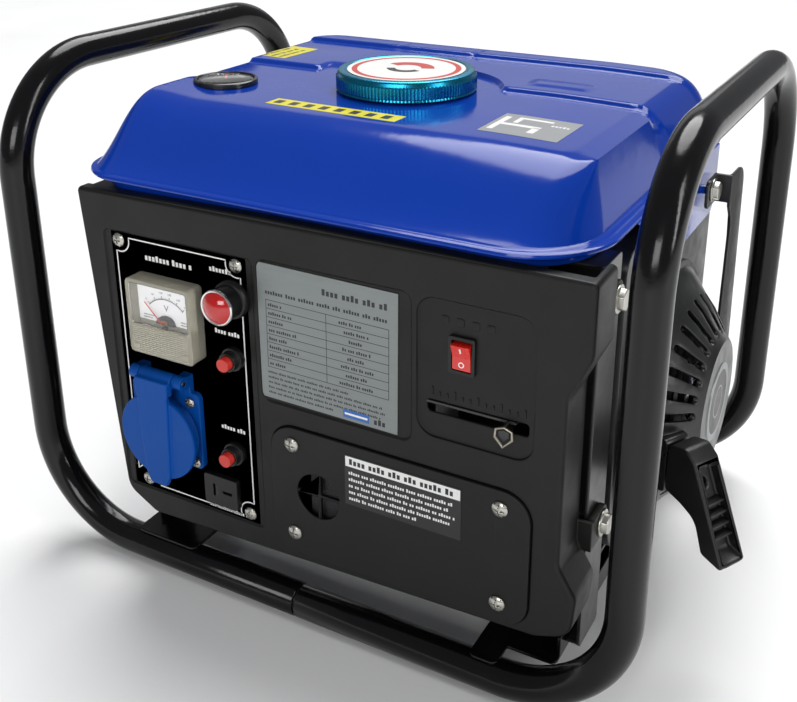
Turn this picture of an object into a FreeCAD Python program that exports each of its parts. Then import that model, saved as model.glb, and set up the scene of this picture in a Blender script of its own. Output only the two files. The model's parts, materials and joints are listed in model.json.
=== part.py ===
"""Small tubular-frame petrol generator with a front control panel.

Units are millimetres.  The origin is on the floor, under the centre of the tubular frame.
+X is the recoil starter side, -Y is the control panel side and +Z is up.
One STEP file is written for each separate piece.
"""
import FreeCAD
import Part
import math
import os

V = FreeCAD.Vector
X_AXIS = V(1, 0, 0)
Y_AXIS = V(0, 1, 0)
Z_AXIS = V(0, 0, 1)

# ---- driving dimensions -------------------------------------------------------------------
TUBE_R = 10.0            # outer radius of the frame tube
TUBE_WALL = 1.5
HALF_WIDTH = 195.0       # frame centre plane to the side tube's centreline
HALF_DEPTH = 140.0       # frame centre plane to the front tube's centreline
TOP_Z = 310.0            # centreline of the carrying handles
BEND_R = 66.0            # centreline radius of the frame bends

PLATE_T = 2.0            # cross plates and brackets
CROSS_LEFT = (-122.0, -76.0)
CROSS_RIGHT = (112.0, 157.0)
MOUNT_Y = 72.0           # rubber mounts, either side of the centre plane
MOUNT_X = (-99.0, 134.0)
BASE_Z = 42.0            # underside of the engine base

FRONT_Y = -145.8         # outer face of the front cover
COVER_BACK_Y = -118.0
COVER_WALL = 3.0
COVER_TOP_Z = 251.5

PANEL_FACE_Y = FRONT_Y + 1.0
PANEL_T = 1.5
PANEL_X = (-118.0, -24.0)
PANEL_Z = (58.0, 226.0)

CRANK_Y = 5.0            # crankshaft axis
CRANK_Z = 126.0
CYL_X = 60.0             # cylinder axis
CRANK_THROW = 20.0
SHAFT_R = 8.5
BORE_R = 22.6
ROD_LENGTH = 62.0
DECK_Z = 172.0           # top of the crankcase
HEAD_Z = 229.0           # top of the cylinder barrel

RECOIL_X = 165.0         # mounting face of the recoil starter
RECOIL_R = 75.0
RECOIL_FACE_X = 200.0

TANK_BOTTOM_Z = 247.0
FLANGE_Z = (255.5, 258.5)
TANK_TOP_Z = 292.0       # front terrace of the pressed top
TERRACE_Y = (17.0, 92.0) # the top steps up here, towards the back
TERRACE_RISE = 2.5
TANK_WALL = 1.2
FILLER = (-3.0, -3.0)    # filler neck, in plan
DISH_R = 57.0            # flat dish round the filler cap
FLANGE_X = (-149.0, 167.0)
DOME_X = (-146.0, 158.5)
SKIRT_X = (165.6, 168.1) # turned-down skirt on the right of the tank
RIGHT_PLATE_X = (168.6, 170.6)
RIGHT_STRIP_X = 180.0    # outer face of the rear bracket's upright, set out past the recoil

ROTOR_R = 35.4
STATOR_X = (-85.0, -30.0)

RUN_GAP = 0.05           # radial clearance of a running fit
PIECES = {}
BOLTS = []               # hex bolts of the mounts and brackets, all one kind


# ---- shape helpers ------------------------------------------------------------------------
def keep(name, *shapes):
    """File one piece, or a group of separate solids, under its node name."""
    PIECES[name] = shapes[0] if len(shapes) == 1 else Part.makeCompound(list(shapes))


def box(x, y, z):
    return Part.makeBox(x[1] - x[0], y[1] - y[0], z[1] - z[0], V(x[0], y[0], z[0]))


def rod(radius, start, end):
    axis = end - start
    return Part.makeCylinder(radius, axis.Length, start, axis)


def rod_x(radius, x, y, z):
    return rod(radius, V(x[0], y, z), V(x[1], y, z))


def rod_y(radius, x, y, z):
    return rod(radius, V(x, y[0], z), V(x, y[1], z))


def rod_z(radius, x, y, z):
    return rod(radius, V(x, y, z[0]), V(x, y, z[1]))


def ring_x(outer, inner, x, y, z):
    return rod_x(outer, x, y, z).cut(rod_x(inner, x, y, z))


def fuse(shapes):
    whole = shapes[0].multiFuse(shapes[1:]) if len(shapes) > 1 else shapes[0]
    return whole.removeSplitter()


def cut(shape, tools):
    return shape.cut(Part.makeCompound(tools))


def rounded_wire(points, radii, closed=True):
    """Straight runs joined by tangent arcs at the corner points."""
    last = len(points) - 1
    corners = []
    for i, point in enumerate(points):
        radius = radii if isinstance(radii, (int, float)) else radii[i]
        if radius == 0 or (not closed and i in (0, last)):
            corners.append((point, None, point))
            continue
        back = (points[i - 1] - point).normalize()
        on = (points[(i + 1) % len(points)] - point).normalize()
        half = back.getAngle(on) / 2
        reach = radius / math.tan(half)
        middle = (back + on).normalize() * (radius / math.sin(half) - radius)
        corners.append((point + back * reach, point + middle, point + on * reach))
    edges = []
    for i, (start, middle, end) in enumerate(corners):
        if middle is not None:
            edges.append(Part.Arc(start, middle, end).toShape())
        if closed or i < last:
            following = corners[(i + 1) % len(corners)][0]
            if (following - end).Length > 1e-6:
                edges.append(Part.LineSegment(end, following).toShape())
    return Part.Wire(edges)


def prism_y(outline, radii, y):
    """Extrude an outline of (x, z) points along Y."""
    wire = rounded_wire([V(a, y[0], b) for a, b in outline], radii)
    return Part.Face(wire).extrude(V(0, y[1] - y[0], 0))


def prism_x(outline, radii, x):
    """Extrude an outline of (y, z) points along X."""
    wire = rounded_wire([V(x[0], a, b) for a, b in outline], radii)
    return Part.Face(wire).extrude(V(x[1] - x[0], 0, 0))


def prism_z(outline, radii, z):
    """Extrude an outline of (x, y) points along Z."""
    wire = rounded_wire([V(a, b, z[0]) for a, b in outline], radii)
    return Part.Face(wire).extrude(V(0, 0, z[1] - z[0]))


def corners_of(first, second):
    return [(first[0], second[0]), (first[1], second[0]), (first[1], second[1]), (first[0], second[1])]


def grown(span, by):
    return (span[0] - by, span[1] + by)


def turned(shape, centre, axis, degrees):
    copy = shape.copy()
    copy.rotate(centre, axis, degrees)
    return copy


def around(shape, centre, axis, count):
    return [turned(shape, centre, axis, 360.0 * i / count) for i in range(count)]


def pan_screw(x, y, z, radius=4.5, length=10.0):
    """Cross-recessed pan-head screw whose head faces -Y."""
    dome_r = radius * 1.6
    dome = Part.makeSphere(dome_r, V(x, y - 2.4 + dome_r, z)).common(rod_y(radius, x, (y - 2.4, y), z))
    cross = [box((x - 2.2, x + 2.2), (y - 3, y - 1.2), (z - 0.5, z + 0.5)),
             box((x - 0.5, x + 0.5), (y - 3, y - 1.2), (z - 2.2, z + 2.2))]
    return fuse([cut(dome, cross), rod_y(radius * 0.45, x, (y, y + length), z)])


def hexagon(centre, axis, side_axis, radius, height):
    """Hexagonal head that grows from centre along axis."""
    points = [centre + turned_vector(side_axis, axis, 60.0 * i) * radius for i in range(6)]
    return Part.Face(Part.makePolygon(points + [points[0]])).extrude(axis * height)


def turned_vector(vector, axis, degrees):
    return FreeCAD.Rotation(axis, degrees).multVec(vector)


def hex_bolt_x(x, y, z, side, length=12.0):
    """Hex bolt along X; side is +1 when the head faces +X."""
    head = hexagon(V(x, y, z), V(side, 0, 0), Z_AXIS, 6.0, 4.5)
    washer = rod_x(7.5, (x, x + side * 1.2), y, z)
    return fuse([head, washer, rod(2.9, V(x - side * length, y, z), V(x, y, z))])


# ---- tubular frame ------------------------------------------------------------------------
def frame_half(side):
    """One bent tube: front bottom joint, up, back over the top, down, and in to the rear joint."""
    start_x = side * 0.5
    low_z = TUBE_R
    path = rounded_wire(
        [V(start_x, -HALF_DEPTH, low_z), V(side * HALF_WIDTH, -HALF_DEPTH, low_z),
         V(side * HALF_WIDTH, -HALF_DEPTH, TOP_Z), V(side * HALF_WIDTH, HALF_DEPTH, TOP_Z),
         V(side * HALF_WIDTH, HALF_DEPTH, low_z), V(start_x, HALF_DEPTH, low_z)],
        BEND_R, closed=False)
    solids = []
    for radius in (TUBE_R, TUBE_R - TUBE_WALL):
        profile = Part.Wire(Part.makeCircle(radius, V(start_x, -HALF_DEPTH, low_z), X_AXIS))
        solids.append(path.makePipeShell([profile], True, False))
    return solids[0].cut(solids[1])


def build_frame():
    keep("frame_left_half", frame_half(-1))
    keep("frame_right_half", frame_half(1))
    sleeve_r = TUBE_R - TUBE_WALL
    sleeves = [ring_x(sleeve_r, sleeve_r - 1.5, (-30, 30), y, TUBE_R) for y in (-HALF_DEPTH, HALF_DEPTH)]
    keep("frame_joint_sleeves", *sleeves)

    plate_y = (-HALF_DEPTH - 5, HALF_DEPTH + 5)
    plate_z = (2 * TUBE_R, 2 * TUBE_R + PLATE_T)
    between_rails = (-HALF_DEPTH + TUBE_R + 0.5, HALF_DEPTH - TUBE_R - 0.5)
    straight_end = HALF_WIDTH - BEND_R
    plates = []
    for span, flange_x in ((CROSS_LEFT, (CROSS_LEFT[0], CROSS_LEFT[0] + PLATE_T)),
                           (CROSS_RIGHT, (CROSS_RIGHT[1] - PLATE_T, CROSS_RIGHT[1]))):
        over_rails = (max(span[0], -straight_end), min(span[1], straight_end))
        flat = fuse([prism_z(corners_of(over_rails, plate_y), 4.0, plate_z),
                     prism_z(corners_of(span, between_rails), 4.0, plate_z)])
        flange = box(flange_x, grown(between_rails, -6), (plate_z[0], plate_z[1] + 12))
        plates.append(fuse([flat, flange]))
    keep("cross_plates", *plates)


def build_mounts():
    low = 2 * TUBE_R + PLATE_T
    rubbers = []
    bolts = []
    for x in MOUNT_X:
        for y in (-MOUNT_Y, MOUNT_Y):
            rubber = fuse([rod_z(14, x, y, (low, low + 5)), rod_z(11, x, y, (low + 5, BASE_Z - 5)),
                           rod_z(14, x, y, (BASE_Z - 5, BASE_Z))])
            rubbers.append(rubber.cut(rod_z(3.2, x, y, (low, BASE_Z))))
            shank = rod_z(3.0, x, y, (low, BASE_Z + 3))
            head = hexagon(V(x, y, BASE_Z + 3), Z_AXIS, X_AXIS, 7.0, 5.0)
            bolts.append(fuse([shank, head]))
    keep("vibration_mounts", *rubbers)
    BOLTS.extend(bolts)

    top = BASE_Z + 3
    plate = prism_z(corners_of((CROSS_LEFT[0], CROSS_RIGHT[1] - 2), (-88, 98)), 8.0, (BASE_Z, top))
    plate = cut(plate, [rod_z(3.2, x, y, (BASE_Z, top)) for x in MOUNT_X for y in (-MOUNT_Y, MOUNT_Y)])
    riser = box((30, 90), (-42, 52), (top, 78)).cut(box((36, 84), (-42, 52), (top, 72)))
    cradle = box((-72, -44), (-36, 46), (top, 90)).cut(rod_x(56, (-75, -40), CRANK_Y, CRANK_Z))
    keep("engine_base", fuse([plate, riser, cradle]))


# ---- front cover and its brackets -----------------------------------------------------------
COVER_OUTLINE = [(-141.5, COVER_TOP_Z - 2.7), (-10, COVER_TOP_Z), (172.5, COVER_TOP_Z), (172.5, 214), (161, 190), (161, 96),
                 (171, 80), (169, 56), (150, 49), (72, 46), (-54, 42), (-104, 40), (-125, 52)]
COVER_RADII = [3, 0, 3, 10, 10, 10, 8, 12, 20, 0, 0, 8, 12]
LABEL_RECESS = ((-16, 78), (144, 228))
SWITCH_RECESS = ((81, 145), (151, 228))
FILTER_X = (-11.0, 146.0)
FILTER_Z = (51.0, 132.0)
FILTER_BAY = (grown(FILTER_X, 2), grown(FILTER_Z, 2))
CHOKE_SLOT = ((86.5, 142), (164.5, 171.5))


def inset_outline(points, by, centre):
    """Move each outline point towards the centre, by the same amount along both axes."""
    return [(a - math.copysign(by, a - centre[0]), b - math.copysign(by, b - centre[1])) for a, b in points]


def build_cover():
    outer = prism_y(COVER_OUTLINE, COVER_RADII, (FRONT_Y, COVER_BACK_Y))
    front_rim = [edge for edge in outer.Edges
                 if all(abs(vertex.Point.y - FRONT_Y) < 0.01 for vertex in edge.Vertexes)]
    outer = outer.makeFillet(2.5, front_rim)
    hollow = prism_y(inset_outline(COVER_OUTLINE, COVER_WALL, (15, 150)), 0, (FRONT_Y + COVER_WALL, 0))
    shell = outer.cut(hollow)

    panel_seat = prism_y(corners_of(grown(PANEL_X, 5), grown(PANEL_Z, 0.6)), 4, (FRONT_Y - 1, FRONT_Y + 1.0))
    panel_hole = prism_y(corners_of((-107.5, -25.5), (74, 213)), 3, (FRONT_Y - 1, 0))
    outlet_hole = box((-60, -36), (FRONT_Y - 1, 0), (64, 80))
    tank_gap = box((-148, 168), (-137.4, 0), (TANK_BOTTOM_Z - 0.4, 260))
    screw_holes = [rod_y(2.2, x, (FRONT_Y, FRONT_Y + 20), z) for x, z in PANEL_SCREWS]
    posts = [rod_y(5, x, (FRONT_Y + 2, FRONT_Y + 29), z) for x, z in FILTER_SCREWS]
    screw_holes += [rod_y(2.35, x, (FRONT_Y, FRONT_Y + 12), z) for x, z in FILTER_SCREWS]
    filter_seat = prism_y(corners_of(grown(FILTER_X, 0.4), grown(FILTER_Z, 0.4)), 16.4,
                          (FRONT_Y - 1, FRONT_Y + 2))
    seat_floor = box(grown(PANEL_X, 8), (FRONT_Y + COVER_WALL, FRONT_Y + 5.5), (56, 229))
    seat_pocket = prism_y(corners_of(grown(PANEL_X, 0.3), grown(PANEL_Z, 0.3)), 2, (FRONT_Y, FRONT_Y + 2.5))
    label_cut = prism_y(corners_of(*LABEL_RECESS), 6, (FRONT_Y - 1, FRONT_Y + 1.0))
    switch_cut = prism_y(corners_of(*SWITCH_RECESS), 10, (FRONT_Y - 1, FRONT_Y + 1.4))
    choke_cut = prism_y(corners_of(*CHOKE_SLOT), 2, (FRONT_Y - 1, FRONT_Y + 9))
    rocker_cut = box((99.9, 112.1), (FRONT_Y - 1, FRONT_Y + 9), (191.6, 208.9))

    bay_y = (FRONT_Y + 2, FRONT_Y + 30)
    bay_wall = prism_y(corners_of(*FILTER_BAY), 16, bay_y)
    bay_hollow = prism_y(corners_of(grown(FILTER_BAY[0], -2.5), grown(FILTER_BAY[1], -2.5)), 14,
                         (FRONT_Y - 1, bay_y[1] - 2.5))
    air_hole = rod_y(12, CYL_X, (bay_y[1] - 4, bay_y[1] + 1), 112)

    tab_x = ((165.2, 169), (-129.5, -126))
    tabs = []
    for x, heights in zip(tab_x, ((228, 100), (228, 78))):
        for z in heights:
            tab = prism_x(corners_of((-120, -96), (z - 9, z + 9)), 6, x)
            tabs.append(tab)
    links = [box(x, (COVER_BACK_Y - 2, COVER_BACK_Y), z)
             for x, z in (((160, 169), (91, 109)), ((165.2, 171), (219, 237)), ((-139, -126), (219, 237)))]
    shell = fuse([shell, seat_floor.common(outer), bay_wall])
    shell = cut(shell, [panel_seat, seat_pocket, panel_hole, outlet_hole, label_cut, switch_cut, choke_cut,
                        rocker_cut, bay_hollow, air_hole, filter_seat, tank_gap])
    shell = cut(fuse([shell] + posts), screw_holes)
    shell = fuse([shell] + links + tabs)
    bolt_holes = [rod_x(3.1, x, -104, z) for x, z in (((160, 175), 228), ((160, 175), 100),
                                                      ((-135, -120), 228), ((-135, -120), 78))]
    keep("front_cover", cut(shell, bolt_holes))


def build_brackets():
    """Four upright sheet brackets that carry the tank and hold the covers."""
    brackets = []
    front = ((163, 165), (157, 165), (-116, -88)), ((-126, -124), (-126, -122), (-116, -88))
    for plate_x, foot_x, y in front:
        strip = prism_x(corners_of(y, (25, TANK_BOTTOM_Z)), 3, plate_x)
        foot = box(foot_x, grown(y, -2), (25, 25 + PLATE_T))
        shelf_x = (plate_x[0] - 18, plate_x[1]) if plate_x[0] > 0 else (plate_x[0], plate_x[1] + 18)
        shelf = box(shelf_x, grown(y, -2), (TANK_BOTTOM_Z - PLATE_T, TANK_BOTTOM_Z))
        strip = fuse([strip, foot, shelf])
        holes = [rod_x(3.0, grown(plate_x, 3), -104, z) for z in ((228, 100) if plate_x[0] > 0 else (228, 78))]
        brackets.append(cut(strip, holes))
    strip = prism_x([(86, 60), (96, 28), (128, 28), (130, 200), (122, 238), (62, 238), (62, 224), (86, 205)],
                    [6, 4, 4, 10, 6, 4, 4, 10], (-152, -150))
    strip = fuse([strip, box((-152, -122), (102, 122), (28, 28 + PLATE_T))])
    brackets.append(strip.cut(rod_x(3.0, (-155, -147), 73, 232)))
    joggle_y = (82.5, 84.5)
    strip = prism_x([(joggle_y[0], 220), (92, 208), (88, 60), (92, 28), (126, 28), (128, 104), (117, 239),
                     (joggle_y[0], 240)], [2, 16, 6, 4, 4, 30, 14, 2], (RIGHT_STRIP_X - PLATE_T, RIGHT_STRIP_X))
    tab = prism_x(corners_of((62, joggle_y[1]), (222, 240)), [4, 0, 0, 4], RIGHT_PLATE_X)
    wall = box((RIGHT_PLATE_X[0], RIGHT_STRIP_X), joggle_y, (222, 240))
    foot = box((157, RIGHT_STRIP_X), (102, 122), (28, 28 + PLATE_T))
    strip = fuse([strip, tab, wall, foot])
    brackets.append(strip.cut(rod_x(3.0, grown(RIGHT_PLATE_X, 3), 73, 232)))
    keep("tank_brackets", *brackets)

    BOLTS.extend([hex_bolt_x(169, -104, 228, 1), hex_bolt_x(169, -104, 100, 1),
                  hex_bolt_x(-129.5, -104, 228, -1), hex_bolt_x(-129.5, -104, 78, -1),
                  hex_bolt_x(RIGHT_PLATE_X[1], 73, 232, 1, 5), hex_bolt_x(-152, 73, 232, -1, 8)])
    keep("hex_bolts", *BOLTS)


# ---- control panel ---------------------------------------------------------------------------
VOLT_X = (-100.0, -54.3)
VOLT_Z = (159.0, 204.7)
VOLT_FACE_Y = PANEL_FACE_Y - 12
VOLT_RIM = 2.4           # width of the rim round the window
VOLT_SKIRT = 18.5        # height of the closed part below the window
LAMP = (-33.0, 201.0)
AC_RESET = (-34.0, 165.0)
DC_RESET = (-37.0, 103.5)
SOCKET = (-84.5, 111.0)
LID_CENTRE = (-84.5, 106.5)
LID_R = 27.3
LID_HINGE = (PANEL_FACE_Y - 8.5, 144.0)     # y and z of the hinge pin
DC_OUTLET = (-48.0, 75.0)
PANEL_SCREWS = ((-112.5, 221), (-29.5, 221), (-29.5, 64), (-107, 64))
FILTER_SCREWS = ((3.5, 121.5), (129.5, 121.5), (3.5, 64.0), (129.5, 64.0))
SOCKET_SCREWS = ((-65.5, 130.0), (-64.0, 90.5))


def build_panel():
    plate = prism_y([(PANEL_X[0], PANEL_Z[1]), (PANEL_X[1], PANEL_Z[1]), (PANEL_X[1], PANEL_Z[0]),
                     (PANEL_X[0] + 12, PANEL_Z[0]), (PANEL_X[0], PANEL_Z[0] + 12)], 2,
                    (PANEL_FACE_Y, PANEL_FACE_Y + PANEL_T))
    y = (PANEL_FACE_Y - 1, PANEL_FACE_Y + 5)
    volt_mid = ((VOLT_X[0] + VOLT_X[1]) / 2, (VOLT_Z[0] + VOLT_Z[1]) / 2)
    holes = [rod_y(19.5, volt_mid[0], y, volt_mid[1]), rod_y(6.2, LAMP[0], y, LAMP[1]),
             rod_y(5.2, AC_RESET[0], y, AC_RESET[1]), rod_y(5.2, DC_RESET[0], y, DC_RESET[1]),
             rod_y(22.2, SOCKET[0], y, SOCKET[1]), box((-57.7, -38.3), y, (67.3, 82.7))]
    holes += [rod_y(2.1, x, y, z) for x, z in PANEL_SCREWS + SOCKET_SCREWS]
    keep("control_panel", cut(plate, holes))
    screws = [pan_screw(x, PANEL_FACE_Y, z, 4.2) for x, z in PANEL_SCREWS]
    screws += [pan_screw(x, FRONT_Y - 1.5, z, 4.5) for x, z in FILTER_SCREWS]
    screws += [pan_screw(x, PANEL_FACE_Y - 4, z, 3.2) for x, z in SOCKET_SCREWS]
    keep("cover_screws", *screws)


def build_voltmeter():
    mid_x = (VOLT_X[0] + VOLT_X[1]) / 2
    mid_z = (VOLT_Z[0] + VOLT_Z[1]) / 2
    case = prism_y(corners_of(VOLT_X, VOLT_Z), 3, (VOLT_FACE_Y, PANEL_FACE_Y))
    inside = grown(VOLT_X, -VOLT_RIM)
    window_z = (VOLT_Z[0] + VOLT_SKIRT, VOLT_Z[1] - VOLT_RIM)
    window = prism_y(corners_of(inside, window_z), 2, (VOLT_FACE_Y - 1, VOLT_FACE_Y + 3))
    cavity = prism_y(corners_of(inside, grown(VOLT_Z, -VOLT_RIM)), 2, (VOLT_FACE_Y + 2, VOLT_FACE_Y + 8))
    barrel = rod_y(19.0, mid_x, (PANEL_FACE_Y, PANEL_FACE_Y + 22), mid_z)
    pivot_z = VOLT_Z[0] + 17
    pivot = rod_y(1.2, mid_x, (VOLT_FACE_Y + 6, VOLT_FACE_Y + 8), pivot_z)
    keep("voltmeter_case", fuse([cut(case, [window, cavity]), barrel, pivot]))
    keep("voltmeter_lens", prism_y(corners_of(grown(inside, -RUN_GAP), grown(window_z, -RUN_GAP)), 1.9,
                                   (VOLT_FACE_Y + 0.3, VOLT_FACE_Y + 1.8)))
    hub = rod_y(2.6, mid_x, (VOLT_FACE_Y + 4, VOLT_FACE_Y + 5.6), pivot_z)
    tip = [(mid_x - 0.5, pivot_z), (mid_x + 0.5, pivot_z), (mid_x + 0.25, pivot_z + 20), (mid_x - 0.25, pivot_z + 20)]
    blade = prism_y(tip, 0, (VOLT_FACE_Y + 4.4, VOLT_FACE_Y + 5.0))
    keep("voltmeter_needle", turned(fuse([hub, blade]), V(mid_x, 0, pivot_z), Y_AXIS, -45))


def build_small_devices():
    face = PANEL_FACE_Y
    x, z = LAMP
    rim_y = face - 15
    dome_r = 12.6
    dome = Part.makeSphere(dome_r, V(x, rim_y - 4 + dome_r, z)).common(rod_y(9.2, x, (face - 30, rim_y), z))
    lamp = fuse([rod_y(11.2, x, (face - 4, face), z), rod_y(9.6, x, (face - 13, face - 4), z),
                 rod_y(10.4, x, (rim_y, face - 13), z), dome, rod_y(6.0, x, (face, face + 18), z)])
    keep("indicator_lamp", lamp)

    collars = []
    for name, (x, z) in (("ac_reset_button", AC_RESET), ("dc_reset_button", DC_RESET)):
        collar = fuse([rod_y(7.0, x, (face - 4, face), z), rod_y(5.6, x, (face - 8, face - 4), z),
                       rod_y(5.0, x, (face, face + 6), z), box((x - 9, x + 9), (face + 6, face + 26), (z - 7, z + 7))])
        collars.append(collar.cut(rod_y(4.1, x, (face - 9, face + 10), z)))
        keep(name, rod_y(4.0, x, (face - 12, face + 6), z))
    keep("reset_switch_bodies", *collars)

    x, z = DC_OUTLET
    outlet = fuse([prism_y(corners_of((x - 12, x + 12), (z - 10, z + 10)), 2, (face - 4, face)),
                   box((x - 9.5, x + 9.5), (face, face + 16), (z - 7.5, z + 7.5))])
    slots = [box((x - 5.5, x - 4), (face - 5, face + 8), (z - 4, z + 4)),
             box((x + 1.5, x + 8), (face - 5, face + 8), (z - 0.8, z + 0.8))]
    keep("dc_outlet", cut(outlet, slots))


def build_ac_socket():
    face = PANEL_FACE_Y
    x, z = SOCKET
    flange = prism_y(corners_of((x - 25, x + 25), (z - 25, z + 25)), 4, (face - 4, face))
    collar = rod_y(22.6, x, (face - 10.5, face - 4), z - 4.5)
    pot = rod_y(22.0, x, (face, face + 24), z)
    well = rod_y(19.6, x, (face - 11, face + 7), z - 2.5)
    pins = [rod_y(2.4, x + dx, (face + 6, face + 20), z - 2.5) for dx in (-9.5, 9.5)]
    hinge_y, hinge_z = LID_HINGE
    knuckles = []
    for span in ((x - 19, x - 12.3), (x + 12.3, x + 19)):
        knuckle = fuse([rod_x(4.0, span, hinge_y, hinge_z), box(span, (hinge_y, face), (hinge_z - 4, hinge_z + 3)),
                        box(span, (face - 4, face), (z + 20, hinge_z))])
        knuckles.append(knuckle)
    body = fuse([flange, collar, pot] + knuckles)
    screw_holes = [rod_y(1.7, sx, (face - 5, face + 1), sz) for sx, sz in SOCKET_SCREWS]
    pin_hole = rod_x(1.5, (x - 20, x + 20), hinge_y, hinge_z)
    keep("ac_socket", cut(body, [well, pin_hole] + pins + screw_holes))
    keep("lid_hinge_pin", rod_x(1.5, (x - 19, x + 19), hinge_y, hinge_z))

    disc_y = (face - 14, face - 11)
    disc = rod_y(LID_R, LID_CENTRE[0], disc_y, LID_CENTRE[1])
    rib = prism_y([(x - 12, hinge_z + 1), (x + 12, hinge_z + 1), (x + 9, LID_CENTRE[1] - 24),
                   (x + 6, LID_CENTRE[1] - 31), (x - 6, LID_CENTRE[1] - 31), (x - 9, LID_CENTRE[1] - 24)], 2,
                  (face - 16, face - 13))
    barrel = rod_x(4.2, (x - 12, x + 12), hinge_y, hinge_z)
    link = box((x - 12, x + 12), (face - 16, hinge_y), (hinge_z - 8, hinge_z + 1))
    lid = fuse([disc, rib, barrel, link]).cut(rod_x(1.5 + RUN_GAP, (x - 13, x + 13), hinge_y, hinge_z))
    clear = box((x - 13, x + 13), (disc_y[1], face), (z - 30, hinge_z - 4.4))
    keep("ac_socket_lid", lid.cut(clear))


# ---- engine switch, choke and air filter -------------------------------------------------------
SWITCH_FACE_Y = FRONT_Y + 1.4
SWITCH = (106.0, 200.25)
CHOKE_X = 131.0


def build_switch_and_choke():
    x, z = SWITCH
    bezel = fuse([prism_y(corners_of((x - 7.2, x + 7.2), (z - 10.2, z + 10.2)), 1.5,
                          (SWITCH_FACE_Y - 2, SWITCH_FACE_Y)),
                  box((x - 6, x + 6), (SWITCH_FACE_Y, SWITCH_FACE_Y + 15), (z - 8.5, z + 8.5))])
    keep("engine_switch_bezel", bezel.cut(box((x - 5.3, x + 5.3), (SWITCH_FACE_Y - 3, SWITCH_FACE_Y + 10),
                                              (z - 8.0, z + 8.0))))
    pivot_y = SWITCH_FACE_Y + 1.5
    rocker = prism_x([(pivot_y - 4.6, z - 7.2), (pivot_y - 3.4, z), (pivot_y - 4.6, z + 7.2),
                      (pivot_y + 2.3, z + 6.4), (pivot_y + 5.5, z), (pivot_y + 2.3, z - 6.4)], 0.4,
                     (x - 5.0, x + 5.0))
    keep("engine_switch_rocker", turned(rocker, V(x, pivot_y, z), X_AXIS, 10))

    slot_z = sum(CHOKE_SLOT[1]) / 2
    tab = prism_x([(FRONT_Y - 6.5, slot_z - 8), (FRONT_Y - 4.5, slot_z + 2), (FRONT_Y + 7, slot_z + 2),
                   (FRONT_Y + 7, slot_z + 0.5), (FRONT_Y - 3, slot_z), (FRONT_Y - 5, slot_z - 9)], 0.5,
                  (CHOKE_X - 4.5, CHOKE_X + 4.5))
    link = box((CHOKE_X - 46, CHOKE_X + 4.5), (FRONT_Y + 7, FRONT_Y + 9), (slot_z - 3, slot_z + 3))
    keep("choke_lever", fuse([tab, link]))


def build_air_filter():
    cover = prism_y(corners_of(FILTER_X, FILTER_Z), 16, (FRONT_Y - 1.5, FRONT_Y + 2))
    inner = prism_y(corners_of(grown(FILTER_X, -3), grown(FILTER_Z, -3)), 13, (FRONT_Y, FRONT_Y + 3))
    inlet = rod_y(14, 20, (FRONT_Y - 3, FRONT_Y + 3), 92.5)
    bars = [box((6, 34), (FRONT_Y - 0.5, FRONT_Y + 2), (91.5, 93.5)), box((19, 21), (FRONT_Y - 0.5, FRONT_Y + 2), (78.5, 106.5))]
    bosses = [rod_y(6, x, (FRONT_Y, FRONT_Y + 2), z) for x, z in FILTER_SCREWS]
    body = fuse([cover.cut(inner)] + bosses)
    body = cut(body, [inlet] + [rod_y(2.3, x, (FRONT_Y - 3, FRONT_Y + 4), z) for x, z in FILTER_SCREWS])
    keep("filter_cover", fuse([body] + bars))
    keep("filter_foam", prism_y(corners_of((10, 123), (56, 124)), 4, (FRONT_Y + 6, FRONT_Y + 27)))


# ---- engine ---------------------------------------------------------------------------------
def crank_rod(radius, x):
    return rod_x(radius, x, CRANK_Y, CRANK_Z)


def build_crankcase():
    whole = fuse([crank_rod(42, (21, 95)), box((30, 90), (CRANK_Y - 30, CRANK_Y + 30), (140, DECK_Z)),
                  box((32, 88), (-44, 54), (78, 90))])
    whole = cut(whole, [crank_rod(33, (40, 80)), crank_rod(20, (28, 92)), crank_rod(12, (20, 100)),
                        rod_z(24, CYL_X, CRANK_Y, (140, DECK_Z))])
    left = whole.common(box((0, CYL_X), (-100, 100), (0, 300)))
    right = whole.common(box((CYL_X, 120), (-100, 100), (0, 300)))
    keep("crankcase_halves", left, right)
    bearings = [ring_x(20, SHAFT_R + RUN_GAP, x, CRANK_Y, CRANK_Z) for x in ((28, 40), (80, 92), (-108, -98))]
    keep("main_bearings", *bearings)


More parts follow.
